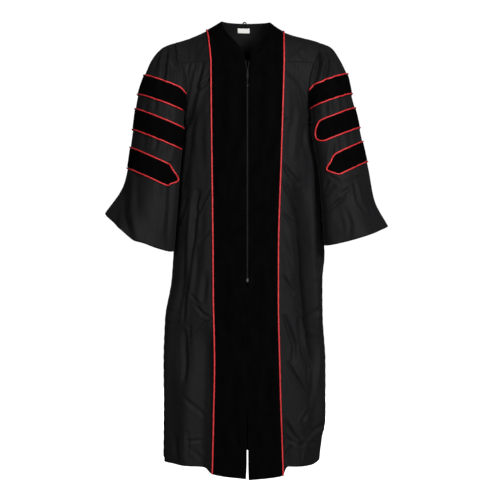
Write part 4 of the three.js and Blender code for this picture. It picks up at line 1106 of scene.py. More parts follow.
SLEEVE_CREASES = {
    R: creases(
        (F, ((-234, 46), (-236, 86), (-239, 126), (-246, 166)), -9.5, 6),
        (F, ((-252, 62), (-268, 114), (-280, 146)), -5.0, 6),
        (F, ((-213.5, 44), (-211, 72), (-206, 100)), -8.5, 5),
        (F, ((-205, 92), (-202, 126), (-199, 170)), -4.4, 6),
        (F, ((-219, 100), (-214, 170)), -4.0, 6),
        (F, ((-244, 60), (-256, 140)), 2.6, 7),
        (F, ((-223, 56), (-227, 158)), 3.0, 6),
        (F, ((-262, 206), (-264, 240)), -3.6, 6),
        (F, ((-290, 212), (-294, 246)), -3.6, 6),
        (F, ((-216, 232), (-218, 262)), -3.0, 6),
        (F, ((-255, 312), (-262, 350)), -4.0, 6),
        (F, ((-292, 300), (-297, 346)), -3.6, 7),
        (F, ((-222, 336), (-226, 372)), -3.6, 6),
        (F, ((-251, 440), (-251, 492)), -3.2, 7),
        (F, ((-331, 396), (-329, 461), (-325, 524), (-311, 600)), 7.5, 9),
        (F, ((-343, 410), (-347, 480), (-346, 540), (-330, 604)), -10.0, 10),
        (F, ((-364, 470), (-372, 540)), 3.0, 9),
        (F, ((-218, 396), (-217, 470), (-218, 540), (-221, 626)), -11, 8),
        (F, ((-224, 540), (-234, 618)), -2.2, 8),
        (F, ((-276, 560), (-268, 610)), -2, 8),
        (F, ((-296, 520), (-286, 570), (-290, 606)), -2.4, 8),
        (B, ((-300, 430), (-250, 480)), -4.6, 7),
        (B, ((-320, 500), (-262, 540)), -4.2, 7),
        (B, ((-230, 60), (-240, 140)), -4.6, 6),
        (B, ((-258, 70), (-272, 146)), -3.8, 6),
        (B, ((-212, 70), (-214, 150)), -4.0, 6),
    ),
    L: creases(
        (F, ((206, 40), (225, 66), (232, 86), (231, 109), (225, 129), (218, 156)), -9.5, 6),
        (F, ((201, 62), (205, 97), (199, 126), (187, 164)), -11.2, 6),
        (F, ((240, 56), (252, 92), (248, 134)), -4, 7),
        (F, ((216, 66), (219, 100), (211, 145)), 4, 6),
        (F, ((246, 206), (248, 236)), -3.8, 6),
        (F, ((270, 200), (273, 232)), -4, 6),
        (F, ((222, 216), (224, 262)), -3.5, 7),
        (F, ((262, 316), (270, 350)), -4.5, 6),
        (F, ((242, 340), (236, 392)), -5, 6),
        (F, ((290, 300), (296, 340)), -3.8, 6),
        (F, ((277, 442), (305, 432), (338, 426)), -7, 4.4),
        (F, ((263, 480), (292, 460)), -8, 4.6),
        (F, ((215, 534), (251, 504), (276, 485)), -8.8, 5),
        (F, ((212, 494), (234, 467), (247, 456)), -6.8, 4.6),
        (F, ((218, 463), (229, 439)), -5.8, 4.6),
        (F, ((232, 428), (262, 444)), -4.5, 4.6),
        (F, ((278, 524), (291, 564), (287, 596)), -3.4, 7),
        (F, ((301, 446), (314, 501), (337, 533), (362, 545)), -8.8, 5.4),
        (F, ((341, 496), (362, 536)), -5.8, 5),
        (F, ((326, 446), (330, 480)), -3.8, 6),
        (F, ((240, 560), (246, 606)), -2, 8),
        (B, ((290, 440), (240, 480)), -4.6, 7),
        (B, ((320, 520), (262, 550)), -4.2, 7),
        (B, ((228, 60), (238, 140)), -4.6, 6),
        (B, ((254, 74), (264, 146)), -3.8, 6),
        (B, ((210, 70), (212, 150)), -4.0, 6),
    ),
}


def crease_relief(creases: Sequence[Crease], face: Face, x: Array, down: Array) -> Array:
    """Height of listed creases, with a low ridge along each side of a trough.

    Args:
        creases: The creases that may lie there.
        face: The half of the gown that the points are on.
        x: The points' distances from the centre plane.
        down: The points' heights.

    Returns:
        The relief, in millimetres.
    """
    relief = np.zeros(np.broadcast(x, down).shape)
    for crease in creases:
        if crease.face is not face:
            continue
        line = np.array(crease.points, float)
        total = run_length(line)[-1]
        nearest, along, passed = np.full(relief.shape, np.inf), np.zeros(relief.shape), 0.0
        for (ax, ad), (bx, bd) in zip(line[:-1], line[1:]):
            length = math.hypot(bx - ax, bd - ad)
            t = np.clip(((x - ax) * (bx - ax) + (down - ad) * (bd - ad)) / length**2, 0, 1)
            away = np.hypot(x - ax - t * (bx - ax), down - ad - t * (bd - ad))
            closer = away < nearest
            nearest = np.where(closer, away, nearest)
            along = np.where(closer, (passed + t * length) / total, along)
            passed += length
        taper = CREASE_END + (1 - CREASE_END) * np.sin(math.pi * np.clip(along, 0, 1)) ** CREASE_FULLNESS
        d = nearest / crease.width
        shape = np.exp(-(d**2)) - LIP_HEIGHT * np.exp(-(((d - LIP_PLACE) / LIP_WIDTH) ** 2))
        relief += crease.depth * taper * shape
    return relief


def groove(away: Array, depth: float, width: float) -> Array:
    """How deep a soft groove is at distances from its middle."""
    return depth * np.exp(-((away / width) ** 2))


def velvet_swell(from_edge: Array) -> Array:
    """Height of the velvet's middle above its underside, lower where its edge rolls under."""
    return VELVET_WALL / 2 - EDGE_ROLL * np.exp(-from_edge / ROLL_WIDTH)


# Forms of the body and sleeves


@dataclass
class Armhole:
    """A leaning oval. Angles run from its top, down the front or the back, to the underarm."""

    top_x: float = 210
    top_down: float = 32
    under_x: float = 186
    under_down: float = 262
    front: float = 62
    back: float = 68
    bow: float = 21
    upper_bow_power: int = 6
    side_seam_y: float = 3

    def at_angle(self, side: Side, face: Face, degrees: Array | float) -> Array:
        """Points of the armhole at angles from its top."""
        angle = np.radians(degrees)
        return self._at_share(side, face, (1 - np.cos(angle)) / 2, np.sin(angle))

    def at_height(self, side: Side, face: Face, down: Array) -> Array:
        """Points of the armhole at heights."""
        share = np.clip((down - self.top_down) / (self.under_down - self.top_down), 0, 1)
        return self._at_share(side, face, share, np.sqrt(np.clip(1 - (1 - 2 * share) ** 2, 0, 1)))

    def _at_share(self, side: Side, face: Face, share: Array, sine: Array) -> Array:
        """Points at shares of the way down.

        Args:
            side: Side of the gown.
            face: Front or back.
            share: Shares of the way from the top to the underarm.
            sine: Sines of the angles there.

        Returns:
            The points.
        """
        x = lerp(self.top_x, self.under_x, share) - self.bowed(share, sine)
        depth = self.front if face is F else self.back
        y = self.side_seam_y * share + face.value * depth * sine
        return np.stack([side.value * x, y, -lerp(self.top_down, self.under_down, share)], axis=-1)

    def bowed(self, share: Array, sine: Array) -> Array:
        """How far the edge bows inwards, mostly beside its middle and below."""
        return self.bow * np.where(share < 0.5, sine**self.upper_bow_power, sine**2)

    def down_at(self, degrees: float) -> float:
        """Height of the armhole at an angle."""
        return float(lerp(self.top_down, self.under_down, (1 - math.cos(math.radians(degrees))) / 2))


ARMHOLE = Armhole()
FRONT_YOKE_ANGLE = 62.5
BACK_YOKE_ANGLE = 88.0
FRONT_SEAM = ARMHOLE.down_at(FRONT_YOKE_ANGLE)
BACK_SEAM = ARMHOLE.down_at(BACK_YOKE_ANGLE)


@dataclass
class BodyForm:
    """The gown's body: a point for each reach round it and each height.

    Reach is -1 at the centre front, 0 at the velvet's edge, 1 at the side seam and 2 at the centre back.
    """

    flatness: float = 0.62
    roundness: float = 0.6
    crowding: float = 0.85
    most_crowding: float = 4.0
    stretch_power: float = 3.0
    fold_fade: float = 110.0
    fold_from: Pair = (-0.05, 0.06)
    fold_at_seam: float = 0.2
    seam_ease: float = 0.1
    gathers: int = 6
    gather_depth: float = 0.7
    gather_from: Pair = (0.15, 0.4)
    gather_end: Pair = (25, 120)
    flutes: int = 6
    flute_from: Pair = (0.04, 0.26)
    flute_rise: float = 14
    flute_uneven: float = 0.25
    uneven_below: float = 500
    crease_from: Pair = (0.01, 0.08)
    seam_rise: float = 8
    panel_width: float = 210
    drape_depth: float = 0.9
    ripple_depth: float = 0.5
    drape_from: Pair = (20, 160)
    yoke_groove: Pair = (0.8, 4)
    side_groove: Pair = (1.2, 5)
    pucker_depth: float = 0.5
    pucker_reach: float = 14
    pucker_length: float = 4.4

    def __post_init__(self) -> None:
        """Reads the tables."""
        self.depth = {F: Curve(BODY, "down", "front"), B: Curve(BODY, "down", "back")}
        self.width = {side: Curve(BODY, "down", str(side)) for side in Side}
        self.centre = {side: Curve(CENTRE_EDGE, "down", str(side)) for side in Side}
        self.velvet = {side: Curve(VELVET_EDGE, "down", str(side)) for side in Side}
        self.hem = {side: Curve(HEM, "reach", str(side)) for side in Side}
        self.flute_depth = Curve(FLUTE_DEPTH, "down", "depth")

    def plan(self, side: Side, face: Face, reach: Array, down: Array) -> tuple[Array, Array, Array]:
        """The smooth body in plan, without folds.

        Args:
            side: Side of the gown.
            face: Front or back.
            reach: Places round the body.
            down: Heights.

        Returns:
            Points as distances from the centre plane and Y, directions out, and the cloth's room.
        """
        y_centre = face.value * self.depth[face].at(down)
        width = self.width[side].at(down)
        y_side = ARMHOLE.side_seam_y
        y_handle = y_side + face.value * self.roundness * np.abs(y_side - y_centre)

        def point(t: Array) -> tuple[Array, Array]:
            """A point of the section."""
            a, b, c, d = (1 - t) ** 3, 3 * t * (1 - t) ** 2, 3 * t * t * (1 - t), t**3
            return width * (self.flatness * b + c + d), y_centre * (a + b) + y_handle * c + y_side * d

        zeros, ones = np.zeros(down.shape), np.ones(down.shape)
        if face is F:
            velvet = self.velvet[side].at(down)
            start = root_of(lambda t: point(t)[0] - velvet, zeros, ones)
            to_side = np.clip(reach, 0, 1)
            centre = self.centre[side].at(down)
            target = lerp(centre, velvet, np.clip(reach, -1, 0) + 1)
            under = root_of(lambda t: point(t)[0] - target, zeros, ones)
            t = np.where(reach < 0, under, start + (1 - start) * to_side)
        else:
            start, to_side = zeros, 2 - reach
            t = to_side
        edge = ARMHOLE.at_height(side, face, down)
        stop = root_of(lambda s: face.value * (edge[..., 1] - point(s)[1]), zeros, ones)
        above = down < ARMHOLE.under_down
        short = np.where(above, (1 - stop) / (1 - start), 1e-6)
        crowding = np.clip(self.crowding / short, 1, self.most_crowding)
        t = t - np.where(above, (1 - start) * short * to_side**crowding, 0)
        spread = np.where(above, 1 - short * crowding * to_side ** (crowding - 1), 1)
        draw = np.where(above, to_side**self.stretch_power, 0)
        at_stop = point(stop)
        x, y = point(t)
        x = x + (np.abs(edge[..., 0]) - at_stop[0]) * draw
        y = y + (edge[..., 1] - at_stop[1]) * draw
        a, b, c = 3 * (1 - t) ** 2, 6 * t * (1 - t), 3 * t * t
        tangent_x = width * (self.flatness * a + (1 - self.flatness) * b)
        tangent_y = b * (y_handle - y_centre) + c * (y_side - y_handle)
        outward = unit(np.stack([-face.value * tangent_y, face.value * tangent_x], axis=-1))
        return np.stack([x, y], axis=-1), outward, spread

    def relief(self, side: Side, face: Face, reach: Array, down: Array, x: Array, spread: Array) -> Array:
        """Height of folds, gathers, flutes, seams and creases above the smooth body.

        Args:
            side: Side of the gown.
            face: Front or back.
            reach: Places round the body.
            down: Heights.
            x: The places' X.
            spread: The cloth's room there.

        Returns:
            The relief, in millimetres.
        """
        relief = np.zeros(reach.shape)
        for fold in (row for row in FOLDS if row.side is side):
            share = np.clip((down - fold.start) / (fold.end - fold.start), 0, 1)
            away = (reach - fold.reach - fold.drift * share) / fold.width
            begun = smooth(down, fold.start, fold.start + self.fold_fade)
            ended = smooth(down, fold.end - self.fold_fade, fold.end)
            relief += fold.depth * begun * (1 - ended) * np.exp(-away * away)
        off_seam = smooth(np.abs(reach - 1), 0, self.seam_ease)
        relief *= smooth(reach, *self.fold_from) * lerp(self.fold_at_seam, 1, off_seam)
        from_yoke = down - (FRONT_SEAM if face is F else BACK_SEAM)
        if face is F:
            beside = smooth(reach, *self.crease_from)
            fade = smooth(reach, *self.gather_from) * (1 - smooth(from_yoke, *self.gather_end))
            relief += self.gather_depth * fade * spread * np.cos(2 * math.pi * self.gathers * reach)
        else:
            beside = np.ones(reach.shape)
            inward = reach - 1
            fade = smooth(inward, *self.flute_from) * smooth(from_yoke, 0, self.flute_rise)
            wave = np.sin(9 * inward * side.value + 1) * smooth(1 - inward, 0, 0.12)
            uneven = 1 + self.flute_uneven * wave * smooth(down, BACK_SEAM, self.uneven_below)
            flutes = np.cos(2 * math.pi * self.flutes * inward)
            relief += self.flute_depth.at(down) * fade * uneven * spread * flutes
        relief += crease_relief(BODY_CREASES[side], face, x, down) * beside * off_seam
        relief *= smooth(from_yoke, 0, self.seam_rise)
        return relief + beside * self._wear(face, reach, down, from_yoke)

    def _wear(self, face: Face, reach: Array, down: Array, from_yoke: Array) -> Array:
        """Soft unevenness of hanging cloth, with grooves and puckers along the seams.

        Args:
            face: Front or back.
            reach: Places round the body.
            down: Heights.
            from_yoke: Distances below the yoke's seam.

        Returns:
            The relief, in millimetres.
        """
        phase = 3.1 * face.value
        drape = np.sin(17 * reach + 0.009 * down + phase) * np.sin(0.0063 * down + 4 * reach)
        drape = self.drape_depth * drape + self.ripple_depth * np.sin(31 * reach - 0.014 * down + 1.7 * phase)
        from_side = np.abs(1 - reach) * self.panel_width
        low = smooth(down, ARMHOLE.under_down, ARMHOLE.under_down + 60)
        relief = drape * smooth(from_yoke, *self.drape_from) * smooth(from_side, 0, 20)
        yoke = 1 if face is F else smooth(from_yoke, 0, 3)
        relief -= yoke * groove(from_yoke, *self.yoke_groove)
        relief -= low * groove(from_side, *self.side_groove)
        puckers = np.exp(-from_side / self.pucker_reach) * np.sin(down / self.pucker_length)
        return relief + self.pucker_depth * low * puckers

    def points(self, side: Side, face: Face, reach: Array, down: Array) -> Array:
        """Points of the body's cloth.

        Args:
            side: Side of the gown.
            face: Front or back.
            reach: Places round the body.
            down: Heights.

        Returns:
            The points.
        """
        plan, outward, spread = self.plan(side, face, reach, down)
        relief = self.relief(side, face, reach, down, side.value * plan[..., 0], spread)
        plan = plan + outward * relief[..., None]
        return np.stack([side.value * plan[..., 0], plan[..., 1], -down], axis=-1)

    def heights(self, side: Side, seam: float, reach: Array, step: float) -> Array:
        """Heights of a panel's rows at places round the body, from its seam to the hem.

        Args:
            side: Side of the gown.
            seam: Height of the panel's upper edge.
            reach: Places round the body.
            step: Distance between rows.

        Returns:
            One row of heights for each row of the panel.
        """
        under = ARMHOLE.under_down
        upper = np.linspace(seam, under, int((under - seam) / step) + 2)[:-1]
        share = np.linspace(0, 1, int((HEM[0].right - under) / step) + 1)
        lower = lerp(under, self.hem[side].at(reach)[None, :], share[:, None])
        return np.concatenate([np.repeat(upper[:, None], len(reach), axis=1), lower], axis=0)


FORM = BodyForm()
VELVET_COLUMNS = 14


@dataclass
class BodyPanels:
    """The two fronts and the back, from the yokes to the hem."""

    front_step: float = 3.6
    front_columns: int = 88
    back_step: float = 4.6
    back_columns: int = 78
    front_cut: Cut = Cut((0.34, 1.20), Held.GATHERED, 0.345)
    back_cut: Cut = Cut((0.70, 1.13), Held.GATHERED)

    def front_grid(self, side: Side) -> Grid:
        """One front, from the zip to the side seam.

        Args:
            side: Side of the gown.

        Returns:
            Its grid, with rows from the yoke to the hem.
        """
        under = np.linspace(-1, 0, VELVET_COLUMNS + 1)[:-1]
        reach = np.concatenate([under, np.linspace(0, 1, self.front_columns + 1)])
        down = FORM.heights(side, FRONT_SEAM, reach, self.front_step)
        points = FORM.points(side, F, np.broadcast_to(reach, down.shape), down)
        points[0, :, 2] -= SEAM / 2
        points[down[:, -1] >= ARMHOLE.under_down, -1, 1] -= SIDE_SEAM
        return Grid(points, facing=-side.value)

    def back_grid(self) -> Grid:
        """The back, from side seam to side seam.

        Returns:
            Its grid, with rows from the yoke to the hem.
        """
        reach = np.linspace(1, 2, self.back_columns + 1)
        halves = []
        for side in Side:
            down = FORM.heights(side, BACK_SEAM, reach, self.back_step)
            points = FORM.points(side, B, np.broadcast_to(reach, down.shape), down)
            points[down[:, 0] >= ARMHOLE.under_down, 0, 1] += SIDE_SEAM
            halves.append(points)
        points = np.concatenate([halves[0], halves[1][:, -2::-1]], axis=1)
        points[0, :, 2] -= SEAM / 2
        return Grid(points, facing=1)

    def build(self) -> dict[Side, Grid]:
        """Makes the three panels.

        Returns:
            The fronts' grids, which the facings and the zip lie on.
        """
        fronts = {}
        for side in Side:
            grid = fronts[side] = self.front_grid(side)
            ROOM.sew(
                f"front_panel_{side}", f"front_{side}", grid, CLOTH_WALL, CLOTH,
            )
        ROOM.sew("back_panel", "back", self.back_grid(), CLOTH_WALL, CLOTH)
        return fronts


@dataclass
class Yokes:
    """The front yokes and the back yoke, which meet on the shoulder line."""

    neck_half: dict[Side, float] = field(default_factory=lambda: {R: 74, L: 65})
    neck_height: dict[Side, float] = field(default_factory=lambda: {R: 28, L: 23.5})
    neck_bow: dict[Side, float] = field(default_factory=lambda: {R: 8, L: 4.5})
    neck_forward: float = 5
    neck_back_depth: float = 62
    neck_back_height: float = 33
    shoulder_sag: float = 7
    shoulder_hollow: float = 69
    bulge_depth: float = 14
    bulge_rise: float = 30
    velvet_at_shoulder: dict[Side, float] = field(default_factory=lambda: {R: 119, L: 104})
    velvet_at_neck: float = 0.3
    ribs_from: dict[Side, float] = field(default_factory=lambda: {R: 171, L: 167})
    rib_pitch: float = 6.2
    rib_slant: float = 0.12
    rib_from: Pair = (2, 7)
    rib_foot: Pair = (0.02, 0.1)
    rib_top: Pair = (0.08, 0.3)
    rib_depth: dict[Side, float] = field(default_factory=lambda: {R: 0.8, L: 0.4})
    rows: int = 76
    columns: int = 34
    fan_rows: int = 45
    fan_split: float = 4 / 9
    front_height: float = FRONT_SEAM + 20
    seam_lean: float = 0.12
    seam_rise: float = 0.5
    crown: float = 0.55
    seam_samples: int = 400
    crease_from: Pair = (0.02, 0.15)
    velvet_ease: float = 0.08
    rib_line: Pair = (1.0, 2.6)
    seam_groove: Pair = (0.8, 4)
    shoulder_groove: Pair = (1.1, 5)
    front_cut: Cut = Cut((0.205, 0.165), Held.STRETCHED, 0.0225)
    back_cut: Cut = Cut((0.44, 0.235), Held.STRETCHED, 0.077)

    def shoulder(self, side: Side, x: Array) -> Array:
        """The shoulder line.

        Args:
            side: Side of the gown.
            x: Distances from the centre plane.

        Returns:
            Its points.
        """
        share = np.clip((x - self.neck_half[side]) / (ARMHOLE.top_x - self.neck_half[side]), 0, 1)
        height = lerp(self.neck_height[side], -ARMHOLE.top_down, share) - self.sagged(side, share)
        return np.stack([side.value * x, -self.neck_forward * (1 - share), height], axis=-1)

    def sagged(self, side: Side, share: Array) -> Array:
        """How far the shoulder line sags, evenly on one side and beside the neck on the other."""
        even = 4 * self.shoulder_sag * share * (1 - share)
        return even if side is R else self.shoulder_hollow * share * (1 - share) ** 2

    def front_surface(self, side: Side, x: Array, rise: Array) -> Array:
        """Points of a front yoke.

        Args:
            side: Side of the gown.
            x: Distances from the centre plane.
            rise: Shares of the way up, 0 at its seam and 1 on the shoulder line.

        Returns:
            The points.
        """
        x, rise = np.broadcast_arrays(x, rise)
        reach = np.linspace(-1, 1, self.seam_samples)
        plan = FORM.plan(side, F, reach, np.full(reach.shape, FRONT_SEAM))[0]
        foot_y = np.interp(x, plan[:, 0], plan[:, 1])
        foot = np.stack([side.value * x, foot_y, np.full(x.shape, -FRONT_SEAM)], axis=-1)
        top = self.shoulder(side, x)
        height, depth = (top - foot)[..., 2], (top - foot)[..., 1]
        above, before = foot.copy(), top.copy()
        above[..., 1] += self.seam_lean * height
        above[..., 2] += self.seam_rise * height
        before[..., 1] -= self.crown * depth
        t = rise[..., None]
        return foot * (1 - t) ** 3 + 3 * above * t * (1 - t) ** 2 + 3 * before * t * t * (1 - t) + top * t**3

    def front_grid(self, side: Side) -> Grid:
        """A front yoke: rows rise from its seam, and columns run from the neck to the armhole.

        Args:
            side: Side of the gown.

        Returns:
            Its grid.
        """
        rise = np.linspace(0, 1, self.rows + 1)
        neck_x = lerp(float(FORM.centre[side].at(FRONT_SEAM)), self.neck_half[side], rise)
        neck_x = np.maximum(neck_x - self.neck_bow[side] * np.sin(2 * math.pi * rise), neck_x[0])
        neck_z = lerp(-FRONT_SEAM, self.neck_height[side], rise)
        zeros = np.zeros(rise.shape)
        neck_rise = root_of(lambda t: self.front_surface(side, neck_x, t)[..., 2] - neck_z, zeros, zeros + 1)
        velvet_x = lerp(float(FORM.velvet[side].at(FRONT_SEAM)), self.velvet_at_shoulder[side], rise)
        armhole = ARMHOLE.at_angle(side, F, FRONT_YOKE_ANGLE * (1 - rise))
        edge_x = np.abs(armhole[:, 0])
        miss = armhole - self.front_surface(side, edge_x, rise)
        rise, neck_x, velvet_x, edge_x = rise[:, None], neck_x[:, None], velvet_x[:, None], edge_x[:, None]
        share = np.linspace(0, 1, VELVET_COLUMNS + 1)[None, :-1]
        under = self.front_surface(side, lerp(neck_x, velvet_x, share), lerp(neck_rise[:, None], rise, share))
        share = np.linspace(0, 1, self.columns + 1)[None, :]
        beside = self.front_surface(side, lerp(velvet_x, edge_x, share), rise)
        beside = beside + miss[:, None] * (share**2)[..., None]
        plain = Grid(np.concatenate([under, beside], axis=1), facing=side.value)
        reach = np.concatenate([np.zeros(VELVET_COLUMNS), share[0]])[None, :]
        points = plain.moved_out(self.front_relief(side, plain.points, rise, reach))
        points[0, :, 2] += SEAM / 2
        points[-1, :, 1] -= SEAM / 2
        return Grid(points, facing=side.value)

    def front_relief(self, side: Side, points: Array, rise: Array, reach: Array) -> Array:
        """Height of a front yoke's creases, ribs and seams.

        Args:
            side: Side of the gown.
            points: Points of the plain yoke.
            rise: Shares of the way up.
            reach: Shares of the way from the velvet's edge to the armhole.

        Returns:
            The relief, in millimetres.
        """
        relief = crease_relief(YOKE_CREASES[side], F, points[..., 0], -points[..., 2])
        relief = relief * smooth(reach, *self.crease_from)
        ease = smooth(reach, 0, self.velvet_ease)
        beyond = np.abs(points[..., 0]) - self.ribs_from[side]
        fade = smooth(beyond, *self.rib_from) * smooth(1 - rise, *self.rib_top) * smooth(rise, *self.rib_foot)
        ribs = np.sin(points[..., 2] * 2 * math.pi / self.rib_pitch + self.rib_slant * beyond)
        relief = relief + fade * self.rib_depth[side] * ribs
        relief = relief - ease * groove(beyond, *self.rib_line)
        from_seam, from_top = rise * self.front_height, (1 - rise) * self.front_height
        relief = relief * smooth(from_seam, 0, 6)
        relief = relief - ease * groove(from_seam, *self.seam_groove)
        relief = relief - ease * groove(from_top, *self.shoulder_groove)
        return relief * smooth(from_top, 0, 4)

    def fan_half(self, side: Side) -> Array:
        """One half of the back yoke: rows turn round the neck from the shoulder line to the centre.

        Args:
            side: Side of the gown.

        Returns:
            Its points, with columns from the neck outwards.
        """
        turn_share = np.linspace(0, 1, self.fan_rows + 1)
        sine, cosine = np.sin(turn_share * math.pi / 2), np.cos(turn_share * math.pi / 2)
        neck = np.stack(
            [
                side.value * self.neck_half[side] * cosine,
                lerp(-self.neck_forward, self.neck_back_depth, sine),
                lerp(self.neck_height[side], self.neck_back_height, np.sqrt(sine)),
            ],
            axis=-1,
        )
        on_armhole = np.clip(turn_share / self.fan_split, 0, 1) * BACK_YOKE_ANGLE
        reach = 1 + np.clip((turn_share - self.fan_split) / (1 - self.fan_split), 0, 1)
        plan = FORM.plan(side, B, reach, np.full(reach.shape, BACK_SEAM))[0]
        seam = np.stack([side.value * plan[:, 0], plan[:, 1], np.full(reach.shape, -BACK_SEAM)], axis=-1)
        beyond = turn_share > self.fan_split
        outer = np.where(beyond[:, None], seam, ARMHOLE.at_angle(side, B, on_armhole))
        outer[turn_share >= self.fan_split - MERGE, 2] += SEAM / 2
        middle = (neck + outer) / 2
        middle[:, 1] += self.bulge_depth * sine
        middle[:, 2] += self.bulge_rise * sine**2
        neck_half = self.neck_half[side]
        at_shoulder = (self.velvet_at_shoulder[side] - neck_half) / (ARMHOLE.top_x - neck_half)
        velvet = lerp(at_shoulder, self.velvet_at_neck, smooth(turn_share, 0, 1))[:, None]
        under = velvet * np.linspace(0, 1, VELVET_COLUMNS + 1)[None, :-1]
        beside = lerp(velvet, 1, np.linspace(0, 1, self.columns + 1)[None, :])
        t = np.concatenate([under, beside], axis=1)[..., None]
        points = neck[:, None] * (1 - t) ** 2 + 2 * middle[:, None] * t * (1 - t) + outer[:, None] * t**2
        points[..., 2] -= self.sagged(side, t[..., 0]) * (cosine**2)[:, None]
        return points

    def back_grid(self) -> Grid:
        """The back yoke, from the right shoulder line to the left one.

        Returns:
            Its grid.
        """
        right, left = self.fan_half(R), self.fan_half(L)[::-1]
        right[0, :, 1] += SEAM / 2
        left[-1, :, 1] += SEAM / 2
        return Grid(np.concatenate([right, left[1:]], axis=0), facing=-1)

    def build(self) -> tuple[dict[Side, Grid], Grid]:
        """Makes the yokes.

        Returns:
            The grids of the front yokes and of the back yoke.
        """
        fronts = {}
        back = self.back_grid()
        for side in Side:
            grid = fronts[side] = self.front_grid(side)
            shoulder = 0 if side is R else -1
            shared = unit(grid.normals[-1] + back.normals[shoulder])
            grid.normals[-1] = back.normals[shoulder] = shared
            ROOM.sew(
                f"front_yoke_{side}", f"yoke_front_{side}", grid, CLOTH_WALL, CLOTH,
            )
        ROOM.sew("back_yoke", "yoke_back", back, CLOTH_WALL, CLOTH)
        return fronts, back


@dataclass
class Sleeves:
    """The bell sleeves with their velvet bars and piping."""

    rows: int = 150
    columns: int = 176
    crowding: float = 1.12
    bow_fade: float = 0.42
    drop_from: float = 0.8
    tuck: float = 5.0
    tuck_depth: float = 2.4
    seam_row: float = 1.5
    seam_droop: float = 0.15
    droop_from: Pair = (-0.3, 0.12)
    least_end: float = 0.02
    ease_fade: float = 0.03
    dip: float = 8
    dip_x: float = 322
    dip_width: float = 22
    bar_height: float = 58
    bar_columns: int = 96
    bar_rows: int = 10
    bar_crowding: float = 0.7
    bar_inset: float = 1.25
    tip_inset: float = 2.4
    least_half: float = 0.012
    covered_end: float = 0.97
    cord_passes: int = 5
    dive_depth: float = 7
    dive_length: float = 4
    length: float = 520
    flute_depth: float = 1.0
    flute_uneven: float = 0.3
    flute_rise: float = 0.07
    flute_stop: Pair = (10, 38)
    flute_end: Pair = (70, 95)
    seam_groove: Pair = (1.3, 5)
    drape_depth: float = 0.8
    drape_from: Pair = (0.3, 0.6)
    cut: Cut = Cut((0.76, 0.60), Held.HUNG, 0.295)
    bar_lengths: tuple[float, ...] = (0.31, 0.42, 0.43)
    corners: tuple[float, ...] = (0, 22, 44, 66, 90, 115, 138, 160, 180)
    back_corners: tuple[float, ...] = (0, 22, 44, 66, 88, 112, 136, 160, 180)
    splits: tuple[int, ...] = (3, 3, 3, 2, 2, 2, 1, 1)

    def flute_phase(self, degrees: Array) -> Array:
        """Half-flutes counted round the sleeve from its outer edge.

        Args:
            degrees: Angles round the sleeve.

        Returns:
            The counts, with fractions.
        """
        steps = np.concatenate([[0], np.cumsum(self.splits)])
        front = np.interp(degrees, self.corners, steps)
        back = np.interp(-degrees, self.back_corners, steps)
        return np.where(degrees >= 0, front, -back)

    def relief(self, side: Side, degrees: Array, at: Array, points: Array) -> Array:
        """Height of flutes, folds and creases above the plain section.

        Args:
            side: Side of the gown.
            degrees: Angles round the sleeve.
            at: Shares of the way to the cuff.
            points: Points of the plain sleeve.

        Returns:
            The relief, in millimetres.
        """
        first = next(bar for bar in BARS if bar.side is side)
        clear = first.above(points) - first.straight_down(self.bar_height / 2) - PIPING_DIAMETER
        along = smooth(at, 0, self.flute_rise) * smooth(clear, *self.flute_stop)
        round_ = 1 - smooth(np.abs(degrees), *self.flute_end)
        phase = self.flute_phase(degrees)
        uneven = 1 + self.flute_uneven * np.sin(2.1 * phase)
        relief = self.flute_depth * along * round_ * uneven * np.cos(math.pi * phase)
        for fold in (row for row in SLEEVE_FOLDS if row.side is side):
            away = (degrees - fold.angle) / fold.width
            relief += fold.depth * smooth(at, fold.start, 1) * np.exp(-away * away)
        for face in Face:
            here = np.where(degrees * face.value <= 0, np.abs(np.sin(np.radians(degrees))) ** 0.5, 0)
            relief += here * crease_relief(SLEEVE_CREASES[side], face, points[..., 0], -points[..., 2])
        relief -= groove(self.length * at, *self.seam_groove)
        drape = np.sin(np.radians(degrees) * 5 + 9 * at) * np.sin(11 * at + np.radians(degrees) * 2)
        return relief + self.drape_depth * drape * smooth(at, *self.drape_from)

    def grid(self, side: Side) -> Grid:
        """A sleeve: columns run round it from the underarm, and rows from the allowance to the cuff.

        Args:
            side: Side of the gown.

        Returns:
            Its grid.
        """
        table = SLEEVES[side]
        at = np.linspace(0, 1, self.rows + 1)[:, None] ** self.crowding
        degrees = np.linspace(-180, 180, self.columns, endpoint=False)[None, :]
        size = {name: Curve(table, "at", name).at(at) for name in SleeveRow._fields[1:]}
        outer = np.stack([side.value * size["out_x"], size["out_y"], -size["out_down"]], axis=-1)
        inner = np.stack([side.value * size["in_x"], size["in_y"], -size["in_down"]], axis=-1)
        sine, cosine = np.abs(np.sin(np.radians(degrees))), np.cos(np.radians(degrees))
        front = degrees >= 0
        depth = np.where(front, -size["front"], size["back"])
        points = lerp(inner, outer, ((1 + cosine) / 2)[..., None])
        bow = ARMHOLE.bowed((1 - cosine) / 2, sine) * (1 - smooth(at, 0, self.bow_fade))
        points[..., 0] += side.value * (ARMHOLE_EASE * (1 - smooth(at, 0, self.ease_fade)) - bow)
        points[..., 1] += depth * sine
        points[..., 2] -= np.where(front, CUFF_DROP[side] * smooth(at, self.drop_from, 1) * sine, 0)
        if side is R:
            dip = groove(points[..., 0] + self.dip_x, self.dip, self.dip_width)
            points[..., 2] -= np.where(front, dip * smooth(at, self.drop_from, 1), 0)
        lift = unit(outer - inner) * cosine[..., None]
        lift[..., 1] += np.where(front, -sine, sine)
        degrees, at = np.broadcast_arrays(degrees, at)
        points = points + lift * self.relief(side, degrees, at, points)[..., None]
        tucked = points[:1] - lift[:1] * self.tuck_depth
        tucked[..., 0] -= side.value * self.tuck
        return Grid(np.concatenate([tucked, points]), facing=side.value, closed=True)

